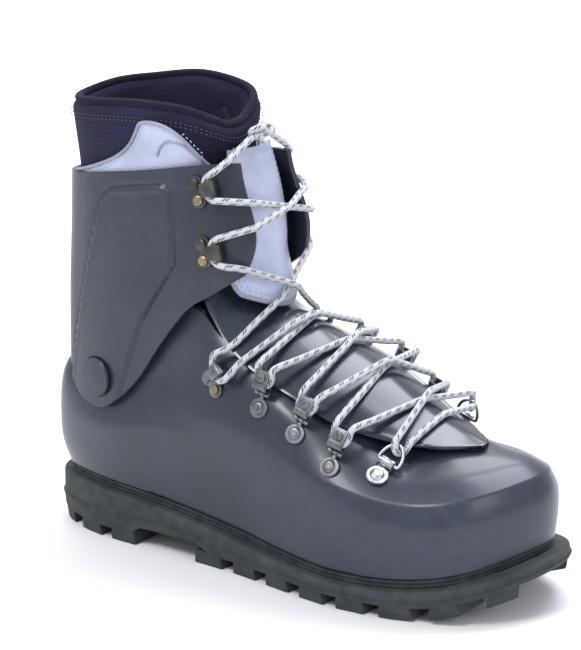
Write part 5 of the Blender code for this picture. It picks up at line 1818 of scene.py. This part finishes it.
class BOOT_OT_stage(Operator):
    """Pale floor, softboxes and camera"""

    bl_idname = "boot.stage"
    bl_label = "Stage"

    def execute(self, context):
        floor = bmesh.new()
        bmesh.ops.create_grid(floor, x_segments=8, y_segments=8, size=9)
        data = bpy.data.meshes.new("floor")
        floor.to_mesh(data)
        floor.free()
        paper = Paint("pale paper", (0.86, 0.86, 0.86), 0.9)
        clouds = paper.noise(3, 2)
        paper.feed(Base_Color=paper.blend(clouds, (0.85, 0.85, 0.855, 1), (0.88, 0.88, 0.88, 1)))
        data.materials.append(paper.material)
        item = bpy.data.objects.new("floor", data)
        context.collection.objects.link(item)
        scene = context.scene
        scene.world = scene.world or bpy.data.worlds.new("studio")
        scene.world.use_nodes = True
        sky = scene.world.node_tree.nodes["Background"]
        sky.inputs["Color"].default_value = (0.93, 0.95, 1.0, 1)
        sky.inputs["Strength"].default_value = 0.8
        soft_light("key", (-0.3, -1.1, 1.5), (0, 0, 0.1), 0.5, 17, (0.97, 0.98, 1.0))
        soft_light("front", (1.5, -0.6, 0.9), (0, 0, 0.1), 0.6, 5, (0.9, 0.92, 1.0))
        soft_light("top", (0.3, 0.7, 1.6), (0, 0, 0.1), 0.9, 22, (0.86, 0.88, 1.0))
        soft_light("backdrop", (-1.6, 2.2, 2.2), (-1.6, 3.0, 0), 2.5, 120, (1.0, 1.0, 1.0))
        azimuth, elevation = math.radians(32), math.radians(16.6)
        back = Vector((math.sin(azimuth) * math.cos(elevation), -math.cos(azimuth) * math.cos(elevation),
                       math.sin(elevation)))
        camera = bpy.data.cameras.new("camera")
        camera.lens = 116
        camera.shift_x, camera.shift_y = -0.016, 0.077
        camera.clip_end = 40
        eye = bpy.data.objects.new("camera", camera)
        eye.location = Vector((0.0015, -0.0005, 0.11)) + back * 1.2
        eye.rotation_euler = back.to_track_quat("Z", "Y").to_euler()
        context.collection.objects.link(eye)
        scene.camera = eye
        scene.view_settings.view_transform = "Standard"
        return {"FINISHED"}


# ---------------------------------------------------------------- sidebar
PIECES = (BOOT_OT_paints, BOOT_OT_outsole, BOOT_OT_welt, BOOT_OT_shell, BOOT_OT_cuff, BOOT_OT_pivots, BOOT_OT_lining,
          BOOT_OT_collar, BOOT_OT_collar_trim, BOOT_OT_side_panels, BOOT_OT_liner_tongue, BOOT_OT_tongue, BOOT_OT_tongue_panel,
          BOOT_OT_guides, BOOT_OT_rings, BOOT_OT_hooks, BOOT_OT_lace, BOOT_OT_knot, BOOT_OT_stage)


class BOOT_PT_sidebar(Panel):
    """Sizes, colours and pieces of the boot."""

    bl_idname = "BOOT_PT_sidebar"
    bl_label = "Mountaineering boot"
    bl_space_type = "VIEW_3D"
    bl_region_type = "UI"
    bl_category = "Boot"

    def draw(self, context):
        column = self.layout.column(align=True)
        for group in ("plastic", "soft", "lacing", "sole"):
            part = getattr(context.scene.boot_settings, group)
            column.label(text=group.capitalize())
            for name in part.__annotations__:
                column.prop(part, name)
        for piece in PIECES:
            column.operator(piece.bl_idname)


CLASSES = (BOOT_PG_plastic, BOOT_PG_soft, BOOT_PG_lacing, BOOT_PG_sole, BOOT_PG_settings, *PIECES, BOOT_PT_sidebar)


def register():
    """Add the classes and the scene's settings."""
    for made in CLASSES:
        bpy.utils.register_class(made)
    bpy.types.Scene.boot_settings = PointerProperty(type=BOOT_PG_settings)


def unregister():
    """Take the classes and the settings away again."""
    del bpy.types.Scene.boot_settings
    for made in reversed(CLASSES):
        bpy.utils.unregister_class(made)


def main():
    """Build every piece."""
    register()
    for piece in PIECES:
        group, _, name = piece.bl_idname.partition(".")
        getattr(getattr(bpy.ops, group), name)()


if __name__ == "__main__":
    main()
